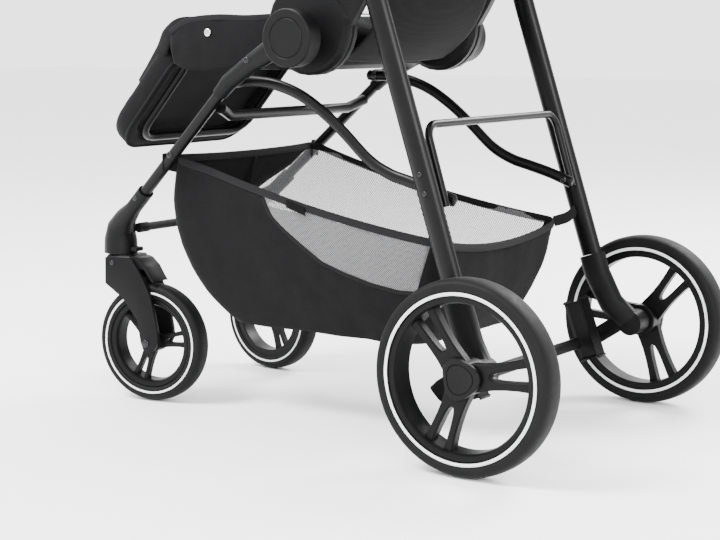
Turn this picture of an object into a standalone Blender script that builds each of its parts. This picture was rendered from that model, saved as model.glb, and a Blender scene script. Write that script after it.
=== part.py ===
"""Four-wheeled baby stroller: tubular folding frame, seat with backrest and leg rest, canopy and basket.

Metres, +Z up. The stroller faces -Y and its left side is +X. Lengths are laid out from the rear axle
(y = 0) and the ground (z = 0); the empty "design_frame" then centres the whole object over the origin.
"""

import math

import bmesh
import bpy
from mathutils import Vector

# ---- whole object ----
REAR_AXLE_Y = 0.1746
GAP = 0.0004
AXIS_X = Vector((1.0, 0.0, 0.0))
AXIS_Y = Vector((0.0, 1.0, 0.0))
AXIS_Z = Vector((0.0, 0.0, 1.0))
SIDES = ((1, "left"), (-1, "right"))

# ---- wheels ----
REAR_WHEEL_R = 0.1175
REAR_TRACK_X = 0.2452
REAR_HALF_WIDTH = 0.0192
FRONT_WHEEL_R = 0.0828
FRONT_HALF_WIDTH = 0.0153
TYRE_DEPTH = 0.0195
RIM_LIP = 0.0095
BORE_R = 0.0054
PIN_R = 0.005
SPOKE_COUNT = 3
SPOKE_START = math.radians(39.0)

# ---- casters ----
CASTER_X = 0.1442
CASTER_Y = -0.622
CASTER_TRAIL = 0.053
CASTER_TURN = {"left": math.radians(8.2), "right": math.radians(-5.3)}
FORK_TOP_Z = 0.2045
FORK_INNER = 0.0172
FORK_OUTER = 0.0232
FOOT_R = 0.0235
FOOT_BASE_Z = 0.2055
LOCK_TRAVEL = 0.004

# ---- front legs: x and y at a height z, then their slopes per metre of height ----
LEG_REF_Z = 0.4
FRONT_LEG_X = 0.178
FRONT_LEG_DX = 0.132
FRONT_LEG_Y = -0.447
FRONT_LEG_DY = 1.060
FRONT_LEG_BOTTOM_Z = 0.297
FRONT_LEG_TOP_Z = 0.433
FRONT_LEG_HALF = (0.0095, 0.0073)

# ---- rear legs ----
REAR_LEG_X = 0.186
REAR_LEG_Y = 0.016
REAR_LEG_DY = -0.3304
REAR_LEG_BOTTOM_Z = 0.2110
REAR_LEG_TOP_Z = 0.620
REAR_LEG_HALF = (0.0085, 0.0148)

# ---- pivots of the folding frame, as (y, z) ----
HUB = (-0.282, 0.521)
LINK_TOP = (-0.397, 0.450)
LINK_BOTTOM = (-0.079, 0.313)
LINK_X = 0.155
LINK_HALF = (0.0048, 0.0075)
REAR_PIVOT_R = 0.1297

# ---- hub drum at the end of the front leg ----
DRUM = (-0.280, 0.506)
DRUM_R = 0.0365
DRUM_X = (0.1930, 0.2120)
CAP_X = (0.2124, 0.2175)
HOUSING_R = 0.062
HOUSING_X = (0.1405, 0.1720)

# ---- push frame: everything lies in the plane of the X axis and this slope ----
PUSH_ANGLE = math.radians(41.0)
PUSH_TUBE_START = 0.1125
PUSH_TUBE_HALF = (0.0140, 0.0095)
HANDLE_R = 0.757
HANDLE_HALF_X = 0.150
HANDLE_CORNER = 0.040
GRIP_R = 0.0165
TRIGGER_TRAVEL = 0.005

# ---- canopy ----
CANOPY_R = 0.36
CANOPY_REACH = 0.30
CANOPY_CORNER = 0.085
BOW_ANGLES = {"rear": 50.0, "mid": 95.0, "front": 140.0}
BOW_X = {"rear": 0.1925, "mid": 0.1970, "front": 0.2015}
BOW_HALF = (0.0048, 0.0018)
CLOTH = 0.003

# ---- seat ----
SEAT_HALF_X = 0.128
RAIL_X = (0.1290, 0.1385)
SEAT_FRONT_Y = -0.512
PAN_FRONT_Y = -0.496
PAN_Z = (0.464, 0.485)
BACK_ANGLE = math.radians(40.0)
BACK_R = (0.072, 0.545)
BACK_HALF_X = 0.130
LEG_REST_PIVOT = (-0.512, 0.485)
LEG_REST_ANGLE = math.radians(229.0)
LEG_REST_SPAN = (0.016, 0.183)
LEG_REST_HALF_X = 0.139

# ---- cross members ----
FRONT_CROSS = (-0.431, 0.403)
LOWER_BAR = (-0.602, 0.242)
REAR_CROSS = (-0.107, 0.403)
REAR_CROSS_X = 0.1665
REAR_CROSS_HALF = (0.0050, 0.0050)
BRAKE_AXIS = (-0.058, 0.090)

# ---- basket ----
BASKET_FRONT_Y = -0.500
BASKET_REAR_Y = -0.092
BASKET_HALF_X = 0.1545
BASKET_WALL = 0.004
BASKET_CORNER = 0.018
BASKET_FLOOR_Z = 0.118


def clear_scene():
    """Removes every object that is already in the file."""
    for obj in list(bpy.data.objects):
        bpy.data.objects.remove(obj, do_unlink=True)


def make_material(name, colour, roughness, metallic):
    """A plain Principled material."""
    material = bpy.data.materials.new(name)
    material.use_nodes = True
    shader = material.node_tree.nodes["Principled BSDF"]
    shader.inputs["Base Color"].default_value = (*colour, 1.0)
    shader.inputs["Roughness"].default_value = roughness
    shader.inputs["Metallic"].default_value = metallic
    return material


def make_materials():
    """The materials that the pieces are made of."""
    return {
        "tube": make_material("satin_black_tube", (0.018, 0.018, 0.019), 0.32, 0.55),
        "plastic": make_material("matte_dark_plastic", (0.027, 0.028, 0.030), 0.55, 0.0),
        "rim": make_material("rim_plastic", (0.020, 0.020, 0.021), 0.42, 0.0),
        "rubber": make_material("tyre_rubber", (0.016, 0.016, 0.017), 0.80, 0.0),
        "fabric": make_material("black_fabric", (0.015, 0.015, 0.017), 0.92, 0.0),
        "grip": make_material("stitched_grip", (0.022, 0.021, 0.021), 0.62, 0.0),
    }


# ---- geometry helpers ----


def on_plane(radius, angle, x=0.0, centre=HUB):
    """A point at a radius and an angle from +Y towards +Z round a pivot, at a given x."""
    return Vector((x, centre[0] + radius * math.cos(angle), centre[1] + radius * math.sin(angle)))


def direction(angle):
    """The unit vector at an angle from +Y towards +Z."""
    return Vector((0.0, math.cos(angle), math.sin(angle)))


def front_leg_point(side, z):
    """The front leg's centre at a height."""
    rise = z - LEG_REF_Z
    return Vector((side * (FRONT_LEG_X + FRONT_LEG_DX * rise), FRONT_LEG_Y + FRONT_LEG_DY * rise, z))


def rear_leg_point(side, z):
    """The rear leg's centre at a height."""
    return Vector((side * REAR_LEG_X, REAR_LEG_Y + REAR_LEG_DY * z, z))


def signed_power(value, power):
    return math.copysign(abs(value) ** power, value)


def outline(centre, first, second, half_first, half_second, count, power=1.0, phase=0.5):
    """Points round a superellipse: power 1 is an ellipse, and a smaller power is squarer."""
    points = []
    for index in range(count):
        angle = 2 * math.pi * (index + phase) / count
        along_first = half_first * signed_power(math.cos(angle), power)
        along_second = half_second * signed_power(math.sin(angle), power)
        points.append(centre + first * along_first + second * along_second)
    return points


def bridge(bm, lower, upper):
    """Faces between two rings of vertices, where a ring of one vertex is a pole."""
    count = max(len(lower), len(upper))
    for index in range(count):
        after = (index + 1) % count
        corners = [lower[index % len(lower)], lower[after % len(lower)]]
        corners += [upper[after % len(upper)], upper[index % len(upper)]]
        bm.faces.new(list(dict.fromkeys(corners)))


def loft(rings, closed=False):
    """A closed body through rings of points, capped at both ends unless the rings close on themselves."""
    bm = bmesh.new()
    loops = [[bm.verts.new(point) for point in ring] for ring in rings]
    for lower, upper in zip(loops, loops[1:]):
        bridge(bm, lower, upper)
    if closed:
        bridge(bm, loops[-1], loops[0])
    else:
        for end in (loops[0], loops[-1]):
            if len(end) > 2:
                bm.faces.new(end)
    bmesh.ops.recalc_face_normals(bm, faces=bm.faces)
    if bm.calc_volume(signed=True) < 0:
        bmesh.ops.reverse_faces(bm, faces=bm.faces)
    return bm


def shell(outer, inner):
    """A closed sheet between two grids of points, joined all round their edges."""
    bm = bmesh.new()
    rows, columns = len(outer), len(outer[0])
    top = [[bm.verts.new(point) for point in row] for row in outer]
    low = [[bm.verts.new(point) for point in row] for row in inner]
    for grid in (top, low):
        for r in range(rows - 1):
            for c in range(columns - 1):
                bm.faces.new((grid[r][c], grid[r + 1][c], grid[r + 1][c + 1], grid[r][c + 1]))
    for r in range(rows - 1):
        for c in (0, columns - 1):
            bm.faces.new((top[r][c], top[r + 1][c], low[r + 1][c], low[r][c]))
    for c in range(columns - 1):
        for r in (0, rows - 1):
            bm.faces.new((top[r][c], top[r][c + 1], low[r][c + 1], low[r][c]))
    bmesh.ops.recalc_face_normals(bm, faces=bm.faces)
    if bm.calc_volume(signed=True) < 0:
        bmesh.ops.reverse_faces(bm, faces=bm.faces)
    return bm


def sweep(stations, across=AXIS_X, sides=12, power=1.0):
    """A bar along (centre, half across, half depth) stations, its width kept along one direction."""
    centres = [Vector(centre) for centre, _, _ in stations]
    last = len(centres) - 1
    rings = []
    for index, (_, half_across, half_depth) in enumerate(stations):
        along = (centres[min(index + 1, last)] - centres[max(index - 1, 0)]).normalized()
        depth = along.cross(across).normalized()
        wide = depth.cross(along).normalized()
        rings.append(outline(centres[index], wide, depth, half_across, half_depth, sides, power))
    return loft(rings)


def tube(points, halves, across, sides=12):
    """A bar of one cross-section through points."""
    return sweep([(point, halves[0], halves[1]) for point in points], across, sides)


def turned(profile, centre, axis, segments=32, closed=False):
    """A body turned from (radius, offset) points about an axis through a centre."""
    axis = Vector(axis).normalized()
    first = AXIS_Z if abs(axis.z) < 0.5 else AXIS_Y
    second = axis.cross(first)
    rings = []
    for radius, offset in profile:
        hub = Vector(centre) + axis * offset
        if radius == 0:
            rings.append([hub])
        else:
            rings.append(outline(hub, first, second, radius, radius, segments, phase=0.0))
    return loft(rings, closed)


def cylinder(centre, axis, radius, start, end, segments=20):
    """A plain round bar between two offsets along an axis."""
    return turned([(radius, start), (radius, end)], centre, axis, segments)


def prism(points, x_low, x_high):
    """A (y, z) outline pushed along X."""
    return loft([[Vector((x, y, z)) for y, z in points] for x in (x_low, x_high)])


def block(centre, axes, halves, bevel):
    """A box with bevelled edges along three given directions."""
    bm = bmesh.new()
    bmesh.ops.create_cube(bm, size=2.0)
    for vert in bm.verts:
        offsets = [vert.co[i] * halves[i] for i in range(3)]
        vert.co = Vector(centre) + sum((axes[i] * offsets[i] for i in range(3)), Vector())
    if bevel:
        bmesh.ops.bevel(bm, geom=bm.edges[:], offset=bevel, segments=1, affect="EDGES")
    bmesh.ops.recalc_face_normals(bm, faces=bm.faces)
    return bm


def arc_corner(before, corner, after, radius, steps=5):
    """Points that round a path's corner between the legs to before and after."""
    to_before = (before - corner).normalized()
    to_after = (after - corner).normalized()
    half = to_before.angle(to_after) / 2
    middle = corner + (to_before + to_after).normalized() * (radius / math.sin(half))
    start = (corner + to_before * (radius / math.tan(half)) - middle).normalized()
    end = (corner + to_after * (radius / math.tan(half)) - middle).normalized()
    return [middle + start.slerp(end, step / steps).normalized() * radius for step in range(steps + 1)]


def temporary(bm):
    """A throw-away object that holds a body for a Boolean."""
    mesh = bpy.data.meshes.new("temporary")
    bm.to_mesh(mesh)
    bm.free()
    obj = bpy.data.objects.new("temporary", mesh)
    bpy.context.scene.collection.objects.link(obj)
    return obj


def fused(bodies, operation="UNION"):
    """One body from overlapping bodies, or the first body cut by the rest."""
    objects = [temporary(bm) for bm in bodies]
    for tool in objects[1:]:
        modifier = objects[0].modifiers.new("join", "BOOLEAN")
        modifier.operation = operation
        modifier.object = tool
    bpy.context.view_layer.update()
    graph = bpy.context.evaluated_depsgraph_get()
    mesh = bpy.data.meshes.new_from_object(objects[0].evaluated_get(graph))
    result = bmesh.new()
    result.from_mesh(mesh)
    for obj in objects:
        bpy.data.objects.remove(obj, do_unlink=True)
    return result


def add_empty(name, location, parent=None, turn=0.0):
    """An empty that carries the pieces of one moving body."""
    empty = bpy.data.objects.new(name, None)
    bpy.context.scene.collection.objects.link(empty)
    empty.location = location
    empty.rotation_euler = (0.0, 0.0, turn)
    empty.parent = parent
    return empty


def add_piece(bm, name, material, parent, pivot=(0.0, 0.0, 0.0)):
    """Turns a body into a named object whose origin is its pivot."""
    bmesh.ops.translate(bm, verts=bm.verts, vec=-Vector(pivot))
    mesh = bpy.data.meshes.new(name)
    bm.to_mesh(mesh)
    bm.free()
    mesh.materials.clear()
    mesh.materials.append(material)
    mesh.shade_smooth()
    mesh.set_sharp_from_angle(angle=math.radians(35.0))
    obj = bpy.data.objects.new(name, mesh)
    bpy.context.scene.collection.objects.link(obj)
    obj.location = pivot
    obj.parent = parent
    return obj


# ---- wheels and casters ----


def tyre_body(radius, half_width, centre, axis):
    """A tyre with a rounded tread and flat inner wall."""
    inner = radius - TYRE_DEPTH
    tread = [(1.00, 0.30), (0.975, 0.72), (0.925, 0.97)]
    side = [(radius * share, half_width * reach) for share, reach in tread]
    outer_half = side + [(inner, half_width * 0.97)]
    inner_half = [(r, -offset) for r, offset in reversed(outer_half)]
    return turned(outer_half + inner_half, centre, axis, 36, closed=True)


def spoke_bodies(ring_r, hub_r, centre, axis, offsets):
    """Three spokes that widen to the rim, each split by a teardrop slot that opens at the rim."""
    first = AXIS_Z
    second = Vector(axis).cross(first)
    reach = ring_r - hub_r
    half = [(0.0, 0.185), (0.35, 0.170), (1.0, 0.235), (1.0, 0.095), (0.50, 0.060), (0.33, 0.0)]
    flat = half + [(along, -width) for along, width in reversed(half[:-1])]
    bodies = []
    for spoke in range(SPOKE_COUNT):
        angle = 2 * math.pi * spoke / SPOKE_COUNT + SPOKE_START
        outward = first * math.cos(angle) + second * math.sin(angle)
        sideways = outward.cross(Vector(axis))
        rings = []
        for offset in offsets:
            base = Vector(centre) + Vector(axis) * offset + outward * hub_r
            rings.append([base + outward * reach * along + sideways * ring_r * wide for along, wide in flat])
        bodies.append(loft(rings))
    return bodies


def rim_body(radius, half_width, hub_r, centre, axis):
    """A deep rim with a bored hub and slotted spokes near its outer face."""
    outer = radius - TYRE_DEPTH - GAP
    wall = outer - RIM_LIP
    lip = half_width * 0.86
    ring = [(outer, -lip), (outer, lip), (wall + 0.004, lip), (wall, lip - 0.004), (wall, -lip)]
    hub = [(hub_r, -lip), (hub_r, lip - 0.0052), (BORE_R, lip - 0.0052), (BORE_R, -lip)]
    bodies = [turned(ring, centre, axis, 32, closed=True)]
    bodies.append(turned(hub, centre, axis, 18, closed=True))
    spokes = spoke_bodies(wall + 0.003, BORE_R + 0.006, centre, axis, (-0.002, lip - 0.0062))
    return fused(bodies + spokes)


def lobed_cap(centre, axis, radius, offsets, count=24):
    """A flat hub cap with three soft lobes."""
    rings = []
    second = Vector(axis).cross(AXIS_Z)
    for offset, share in ((offsets[0], 1.0), (offsets[1] - 0.001, 1.0), (offsets[1], 0.95)):
        ring = []
        for index in range(count):
            angle = 2 * math.pi * index / count
            reach = share * radius * (1.0 + 0.11 * math.cos(SPOKE_COUNT * (angle - SPOKE_START)))
            ring.append(
                Vector(centre) + Vector(axis) * offset
                + AXIS_Z * (reach * math.cos(angle)) + second * (reach * math.sin(angle))
            )
        rings.append(ring)
    return loft(rings)


def add_rear_wheels(frame, materials):
    """Rear tyres, rims and hub caps, each turning on its own axle."""
    for side, suffix in SIDES:
        centre = Vector((side * REAR_TRACK_X, 0.0, REAR_WHEEL_R))
        axis = Vector((side, 0.0, 0.0))
        wheel = add_empty("rear_wheel_" + suffix, centre, frame)
        origin = Vector()
        lip = REAR_HALF_WIDTH * 0.86
        tyre = tyre_body(REAR_WHEEL_R, REAR_HALF_WIDTH, origin, axis)
        add_piece(tyre, "rear_tyre_" + suffix, materials["rubber"], wheel)
        rim = rim_body(REAR_WHEEL_R, REAR_HALF_WIDTH, 0.0215, origin, axis)
        add_piece(rim, "rear_rim_" + suffix, materials["rim"], wheel)
        cap = lobed_cap(origin, axis, 0.0245, (lip - 0.0048, lip + 0.0005))
        add_piece(cap, "rear_hub_cap_" + suffix, materials["plastic"], wheel)


def fork_body():
    """A caster fork: a crown over the wheel, two bent cheeks, a rear fender and the axle pin."""
    axle = Vector((0.0, CASTER_TRAIL, FRONT_WHEEL_R))
    top = FORK_TOP_Z - 0.004
    cheek = (
        (-0.0645, top), (-0.0650, 0.164), (-0.0370, 0.145), (-0.0130, 0.115), (-0.0080, 0.084),
        (-0.0040, 0.074), (0.0030, 0.070), (0.0130, 0.074), (0.0200, 0.088), (0.0195, 0.100),
        (0.0155, 0.120), (0.0110, 0.140), (0.0057, 0.156), (-0.0022, 0.172), (-0.0118, 0.187), (-0.0214, top),
    )
    fender = (
        (-0.0260, top), (-0.0190, 0.2020), (-0.0119, 0.1997), (-0.0005, 0.1892), (0.0075, 0.1756),
        (0.0123, 0.1688), (0.0085, 0.1690), (0.0035, 0.1750), (-0.0040, 0.1855), (-0.0260, 0.1900),
    )
    bodies = []
    for low, high in ((FORK_INNER, FORK_OUTER), (-FORK_OUTER, -FORK_INNER)):
        bodies.append(prism([(axle.y + y, z) for y, z in cheek], low, high))
    crown_centre = Vector((0.0, axle.y - 0.043, (0.170 + FORK_TOP_Z) / 2))
    halves = (FORK_OUTER - 0.0004, 0.0210, (FORK_TOP_Z - 0.170) / 2)
    bodies.append(block(crown_centre, (AXIS_X, AXIS_Y, AXIS_Z), halves, 0.003))
    bodies.append(prism([(axle.y + y, z) for y, z in fender], -FORK_INNER - 0.001, FORK_INNER + 0.001))
    bodies.append(cylinder(axle, AXIS_X, PIN_R, -FORK_INNER - 0.002, FORK_INNER + 0.002, 16))
    return fused(bodies)


def add_casters(frame, materials):
    """Swivelling forks with the front wheels behind their swivel axes."""
    for side, suffix in SIDES:
        turn = CASTER_TURN[suffix]
        caster = add_empty("caster_" + suffix, (side * CASTER_X, CASTER_Y, 0.0), frame, turn)
        add_piece(fork_body(), "fork_" + suffix, materials["plastic"], caster)
        axle = Vector((0.0, CASTER_TRAIL, FRONT_WHEEL_R))
        wheel = add_empty("front_wheel_" + suffix, axle, caster)
        axis = Vector((side, 0.0, 0.0))
        tyre = tyre_body(FRONT_WHEEL_R, FRONT_HALF_WIDTH, Vector(), axis)
        add_piece(tyre, "front_tyre_" + suffix, materials["rubber"], wheel)
        rim = rim_body(FRONT_WHEEL_R, FRONT_HALF_WIDTH, 0.0145, Vector(), axis)
        add_piece(rim, "front_rim_" + suffix, materials["rim"], wheel)


def foot_body(side):
    """The swivel housing: an elbow from the swivel axis up to the socket of the front leg."""
    upright = [
        (Vector((side * CASTER_X, CASTER_Y, FOOT_BASE_Z)), FOOT_R, FOOT_R),
        (Vector((side * CASTER_X, CASTER_Y, 0.2250)), FOOT_R * 0.97, FOOT_R * 0.97),
        (Vector((side * 0.1465, CASTER_Y + 0.0035, 0.2425)), 0.0195, 0.0190),
        (Vector((side * 0.1530, CASTER_Y + 0.0180, 0.2570)), 0.0155, 0.0145),
    ]
    socket = [(front_leg_point(side, z), 0.0122, 0.0104) for z in (0.272, FRONT_LEG_BOTTOM_Z - GAP)]
    return sweep(upright + socket, sides=18)


def add_front_feet(frame, materials):
    """Swivel housings and their caster locks."""
    for side, suffix in SIDES:
        add_piece(foot_body(side), "front_foot_" + suffix, materials["plastic"], frame)
        y_near = CASTER_Y + FOOT_R + GAP
        pivot = Vector((side * CASTER_X, y_near + 0.0055, 0.2125))
        tab = block(pivot, (AXIS_X, AXIS_Y, AXIS_Z), (0.008, 0.0055, 0.003), 0.001)
        add_piece(tab, "caster_lock_" + suffix, materials["plastic"], frame, pivot)


# ---- front frame ----


def hub_arm_body(side):
    """The wide arm from the front leg to the drum, with bosses for the fold link and the seat hub."""
    path = (
        (front_leg_point(side, FRONT_LEG_TOP_Z + GAP), 0.0115, 0.0092),
        (front_leg_point(side, 0.450), 0.0125, 0.0112),
        (Vector((side * 0.1905, -0.350, 0.4755)), 0.0130, 0.0125),
        (Vector((side * 0.1965, -0.316, 0.4920)), 0.0115, 0.0150),
        (Vector((side * 0.2010, -0.290, 0.5020)), 0.0085, 0.0190),
    )
    axis = Vector((side, 0.0, 0.0))
    drum = cylinder((0.0, *DRUM), axis, DRUM_R, *DRUM_X, segments=32)
    hub_boss = cylinder((0.0, *HUB), axis, 0.016, HOUSING_X[1] + GAP, 0.2, 20)
    link_boss = cylinder((0.0, *LINK_TOP), axis, 0.009, LINK_X + LINK_HALF[0] + GAP, 0.185, 16)
    return fused([sweep(path, sides=16), drum, hub_boss, link_boss])


def add_front_frame(frame, materials):
    """Front legs, hub arms and the two front cross members."""
    for side, suffix in SIDES:
        ends = [front_leg_point(side, z) for z in (FRONT_LEG_BOTTOM_Z, FRONT_LEG_TOP_Z)]
        add_piece(tube(ends, FRONT_LEG_HALF, AXIS_X, 16), "front_leg_" + suffix, materials["tube"], frame)
        add_piece(hub_arm_body(side), "hub_arm_" + suffix, materials["plastic"], frame)
        cap = [(0.0, CAP_X[0]), (DRUM_R, CAP_X[0]), (DRUM_R, CAP_X[1] - 0.002), (0.035, CAP_X[1])]
        cap += [(0.024, CAP_X[1]), (0.0235, CAP_X[1] - 0.0006), (0.023, CAP_X[1]), (0.0, CAP_X[1])]
        face = turned(cap, (0.0, *DRUM), (side, 0.0, 0.0), 28)
        add_piece(face, "hub_cap_" + suffix, materials["plastic"], frame)
    half = 0.138
    straight = Vector((half, *FRONT_CROSS))
    end = Vector((0.1692, FRONT_CROSS[0] + 0.010, FRONT_CROSS[1] + 0.011))
    points = [end, straight, Vector((-straight.x, *FRONT_CROSS)), Vector((-end.x, end.y, end.z))]
    cross = tube(points, (0.0074, 0.0074), AXIS_Z)
    add_piece(cross, "front_cross_tube", materials["tube"], frame)
    reach = CASTER_X - 0.0135
    lower = cylinder((0.0, *LOWER_BAR), AXIS_X, 0.0045, -reach, reach, 12)
    add_piece(lower, "lower_front_bar", materials["tube"], frame)


def link_body(side):
    """The S-shaped fold link between the front arm and the rear leg."""
    run = (
        (-0.405, 0.4510), (-0.397, 0.4500), (-0.378, 0.4500), (-0.344, 0.4465), (-0.305, 0.4345),
        (-0.269, 0.4140), (-0.236, 0.3890), (-0.197, 0.3555), (-0.166, 0.3395), (-0.137, 0.3315),
        (-0.106, 0.3230), (-0.079, 0.3135), (-0.071, 0.3105),
    )
    stations = []
    for index, (y, z) in enumerate(run):
        tip = index in (0, len(run) - 1)
        half_depth = LINK_HALF[1] * (0.7 if tip else 1.0)
        stations.append((Vector((side * LINK_X, y, z)), LINK_HALF[0], half_depth))
    return sweep(stations, sides=8, power=0.7)


def add_fold_links(frame, materials):
    """Both fold links, hung from the front arms."""
    for side, suffix in SIDES:
        pivot = (side * LINK_X, *LINK_TOP)
        add_piece(link_body(side), "fold_link_" + suffix, materials["tube"], frame, pivot)


# ---- rear frame ----


def rear_foot_body(side):
    """The rear foot: a sleeve on the leg, an arm to the axle, its pin and the brake bar's lug."""
    axis = Vector((side, 0.0, 0.0))
    path = (
        (rear_leg_point(side, REAR_LEG_BOTTOM_Z - GAP), 0.0120, 0.0185),
        (rear_leg_point(side, 0.185), 0.0122, 0.0185),
        (Vector((side * 0.1920, -0.0260, 0.145)), 0.0122, 0.0175),
        (Vector((side * 0.2030, -0.0050, 0.122)), 0.0110, 0.0165),
    )
    axle = (0.0, 0.0, REAR_WHEEL_R)
    boss = cylinder(axle, axis, 0.0170, 0.196, 0.2245, 24)
    pin = cylinder(axle, axis, PIN_R, 0.220, REAR_TRACK_X + 0.008, 16)
    lug_path = [Vector((side * 0.2035, y, z)) for y, z in ((-0.066, 0.082), BRAKE_AXIS, (-0.010, 0.122))]
    lug = sweep([(point, 0.0038, 0.0115) for point in lug_path], sides=12, power=0.7)
    return fused([sweep(path, sides=16, power=0.8), boss, pin, lug])


def rear_cross_body():
    """An arch from leg to leg, its feet beside the fold links' lower pivots."""
    slope = Vector((0.0, REAR_CROSS[0] - LINK_BOTTOM[0], REAR_CROSS[1] - LINK_BOTTOM[1])).normalized()
    points = []
    for side in (1, -1):
        foot = Vector((side * REAR_CROSS_X, LINK_BOTTOM[0], LINK_BOTTOM[1])) - slope * 0.008
        corner = Vector((side * REAR_CROSS_X, *REAR_CROSS))
        bend = arc_corner(foot, corner, Vector((0.0, *REAR_CROSS)), 0.020)
        points.append([foot] + bend)
    path = points[0] + points[1][::-1]
    return tube(path, REAR_CROSS_HALF, AXIS_X.cross(slope).normalized())


def brake_body():
    """The brake bar between the rear feet with a slanted lever at each end."""
    centre = Vector((0.0, *BRAKE_AXIS))
    bodies = [cylinder(centre, AXIS_X, 0.0080, -0.1985, 0.1985, 16)]
    along = direction(math.radians(110.0))
    for side in (1, -1):
        middle = centre + Vector((side * 0.1600, 0.008, 0.020))
        axes = (AXIS_X, along, AXIS_X.cross(along))
        bodies.append(block(middle, axes, (0.0095, 0.0400, 0.0130), 0.003))
    return fused(bodies)


def add_rear_frame(frame, materials):
    """Rear legs, their cross tube, the feet and the brake bar."""
    for side, suffix in SIDES:
        pivot = on_plane(REAR_PIVOT_R, PUSH_ANGLE, side * REAR_LEG_X)
        ends = [rear_leg_point(side, z) for z in (REAR_LEG_BOTTOM_Z, REAR_LEG_TOP_Z)]
        leg = tube(ends, REAR_LEG_HALF, AXIS_X, 16)
        add_piece(leg, "rear_leg_" + suffix, materials["tube"], frame, pivot)
        add_piece(rear_foot_body(side), "rear_foot_" + suffix, materials["plastic"], frame, pivot)
    pivot = on_plane(REAR_PIVOT_R, PUSH_ANGLE)
    add_piece(rear_cross_body(), "rear_cross_tube", materials["tube"], frame, pivot)
    add_piece(brake_body(), "brake_bar", materials["plastic"], frame, (0.0, *BRAKE_AXIS))


# ---- push frame ----


def seat_hub_body(side):
    """The round housing beside the seat with its tapered arm to the push tube."""
    low, high = HOUSING_X
    profile = [(0.0, low), (0.056, low), (HOUSING_R, low + 0.006), (HOUSING_R, low + 0.0125)]
    profile += [(HOUSING_R - 0.003, low + 0.0140), (HOUSING_R - 0.003, low + 0.0160)]
    profile += [(HOUSING_R, low + 0.0175), (HOUSING_R, high - 0.006), (0.057, high), (0.0, high)]
    axis = Vector((side, 0.0, 0.0))
    stations = []
    for radius, half_depth, half_across in (
        (0.020, 0.048, 0.0140), (0.070, 0.034, 0.0130), (PUSH_TUBE_START - GAP, 0.019, 0.0112),
    ):
        stations.append((on_plane(radius, PUSH_ANGLE, side * 0.156), half_across, half_depth))
    return fused([turned(profile, (0.0, *HUB), axis, 28), sweep(stations, sides=12, power=0.6)])


def push_tube_body(side):
    """The side tube of the push frame, splaying outwards and turning in at the handle."""
    run = ((PUSH_TUBE_START, 0.156), (0.200, 0.156), (0.290, 0.160), (0.400, 0.168), (0.560, 0.182))
    points = [on_plane(radius, PUSH_ANGLE, side * x) for radius, x in run]
    corner = on_plane(HANDLE_R, PUSH_ANGLE, side * 0.2005)
    inner = on_plane(HANDLE_R, PUSH_ANGLE, side * (HANDLE_HALF_X - 0.01))
    points += arc_corner(points[-1], corner, inner, HANDLE_CORNER, 5)
    points.append(on_plane(HANDLE_R, PUSH_ANGLE, side * (HANDLE_HALF_X + GAP)))
    across = AXIS_X.cross(direction(PUSH_ANGLE))
    stations = []
    for index, point in enumerate(points):
        share = min(1.0, max(0.0, (index - 4) / 6))
        half_depth = PUSH_TUBE_HALF[1] + share * 0.0015
        half_across = PUSH_TUBE_HALF[0] - share * 0.0030
        stations.append((point, half_across, half_depth))
    return sweep(stations, across, 12)


def rear_pivot_body(side):
    """The bracket on the push tube that carries the rear leg's top pivot."""
    axis = Vector((side, 0.0, 0.0))
    along = direction(PUSH_ANGLE)
    middle = on_plane(0.150, PUSH_ANGLE, side * 0.1678)
    plate = block(middle, (AXIS_X, along, AXIS_X.cross(along)), (0.0018, 0.030, 0.0125), 0.0008)
    centre = on_plane(REAR_PIVOT_R, PUSH_ANGLE)
    return fused([plate, cylinder(centre, axis, 0.0135, 0.1665, 0.1770, 20)])


def add_push_frame(frame, materials):
    """Seat hubs, push tubes, pivot brackets, grip and fold trigger."""
    for side, suffix in SIDES:
        hub = Vector((side * 0.156, *HUB))
        add_piece(seat_hub_body(side), "seat_hub_" + suffix, materials["plastic"], frame, hub)
        add_piece(push_tube_body(side), "push_tube_" + suffix, materials["tube"], frame, hub)
        add_piece(rear_pivot_body(side), "rear_pivot_" + suffix, materials["plastic"], frame, hub)
    hub = Vector((0.0, *HUB))
    centre = on_plane(HANDLE_R, PUSH_ANGLE)
    profile = [(0.0, -HANDLE_HALF_X), (0.0150, -HANDLE_HALF_X), (GRIP_R, 0.003 - HANDLE_HALF_X)]
    profile += [(GRIP_R, HANDLE_HALF_X - 0.003), (0.0150, HANDLE_HALF_X), (0.0, HANDLE_HALF_X)]
    add_piece(turned(profile, centre, AXIS_X, 20), "handle_grip", materials["grip"], frame, hub)
    add_fold_trigger(frame, materials, hub)


def add_fold_trigger(frame, materials, hub):
    """The housing under the grip's middle and the trigger that slides in it."""
    along = direction(PUSH_ANGLE)
    axes = (AXIS_X, along, AXIS_X.cross(along))
    grip = on_plane(HANDLE_R, PUSH_ANGLE)
    bridge_block = block(grip - along * 0.0200, axes, (0.0420, 0.0030, 0.0085), 0.0008)
    cheeks = [
        block(grip - along * 0.0280 + AXIS_X * side * 0.0375, axes, (0.0042, 0.0110, 0.0083), 0.0008)
        for side in (1, -1)
    ]
    add_piece(fused([bridge_block] + cheeks), "fold_housing", materials["plastic"], frame, hub)
    pivot = grip - along * 0.0345
    trigger = block(pivot, axes, (0.0325, 0.0055, 0.0075), 0.0020)
    add_piece(trigger, "fold_trigger", materials["plastic"], frame, pivot)


# ---- canopy ----


def bow_path(half_x, reach, corner, start):
    """(x, reach) points of a rounded arch from the pivot on one side to that on the other."""
    side_end = Vector((half_x, start, 0.0))
    top_left = Vector((half_x, reach, 0.0))
    bend = arc_corner(side_end, top_left, Vector((0.0, reach, 0.0)), corner, 5)
    half = [side_end] + bend
    mirrored = [Vector((-point.x, point.y, 0.0)) for point in reversed(half)]
    return [(point.x, point.y) for point in half + mirrored]


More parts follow.
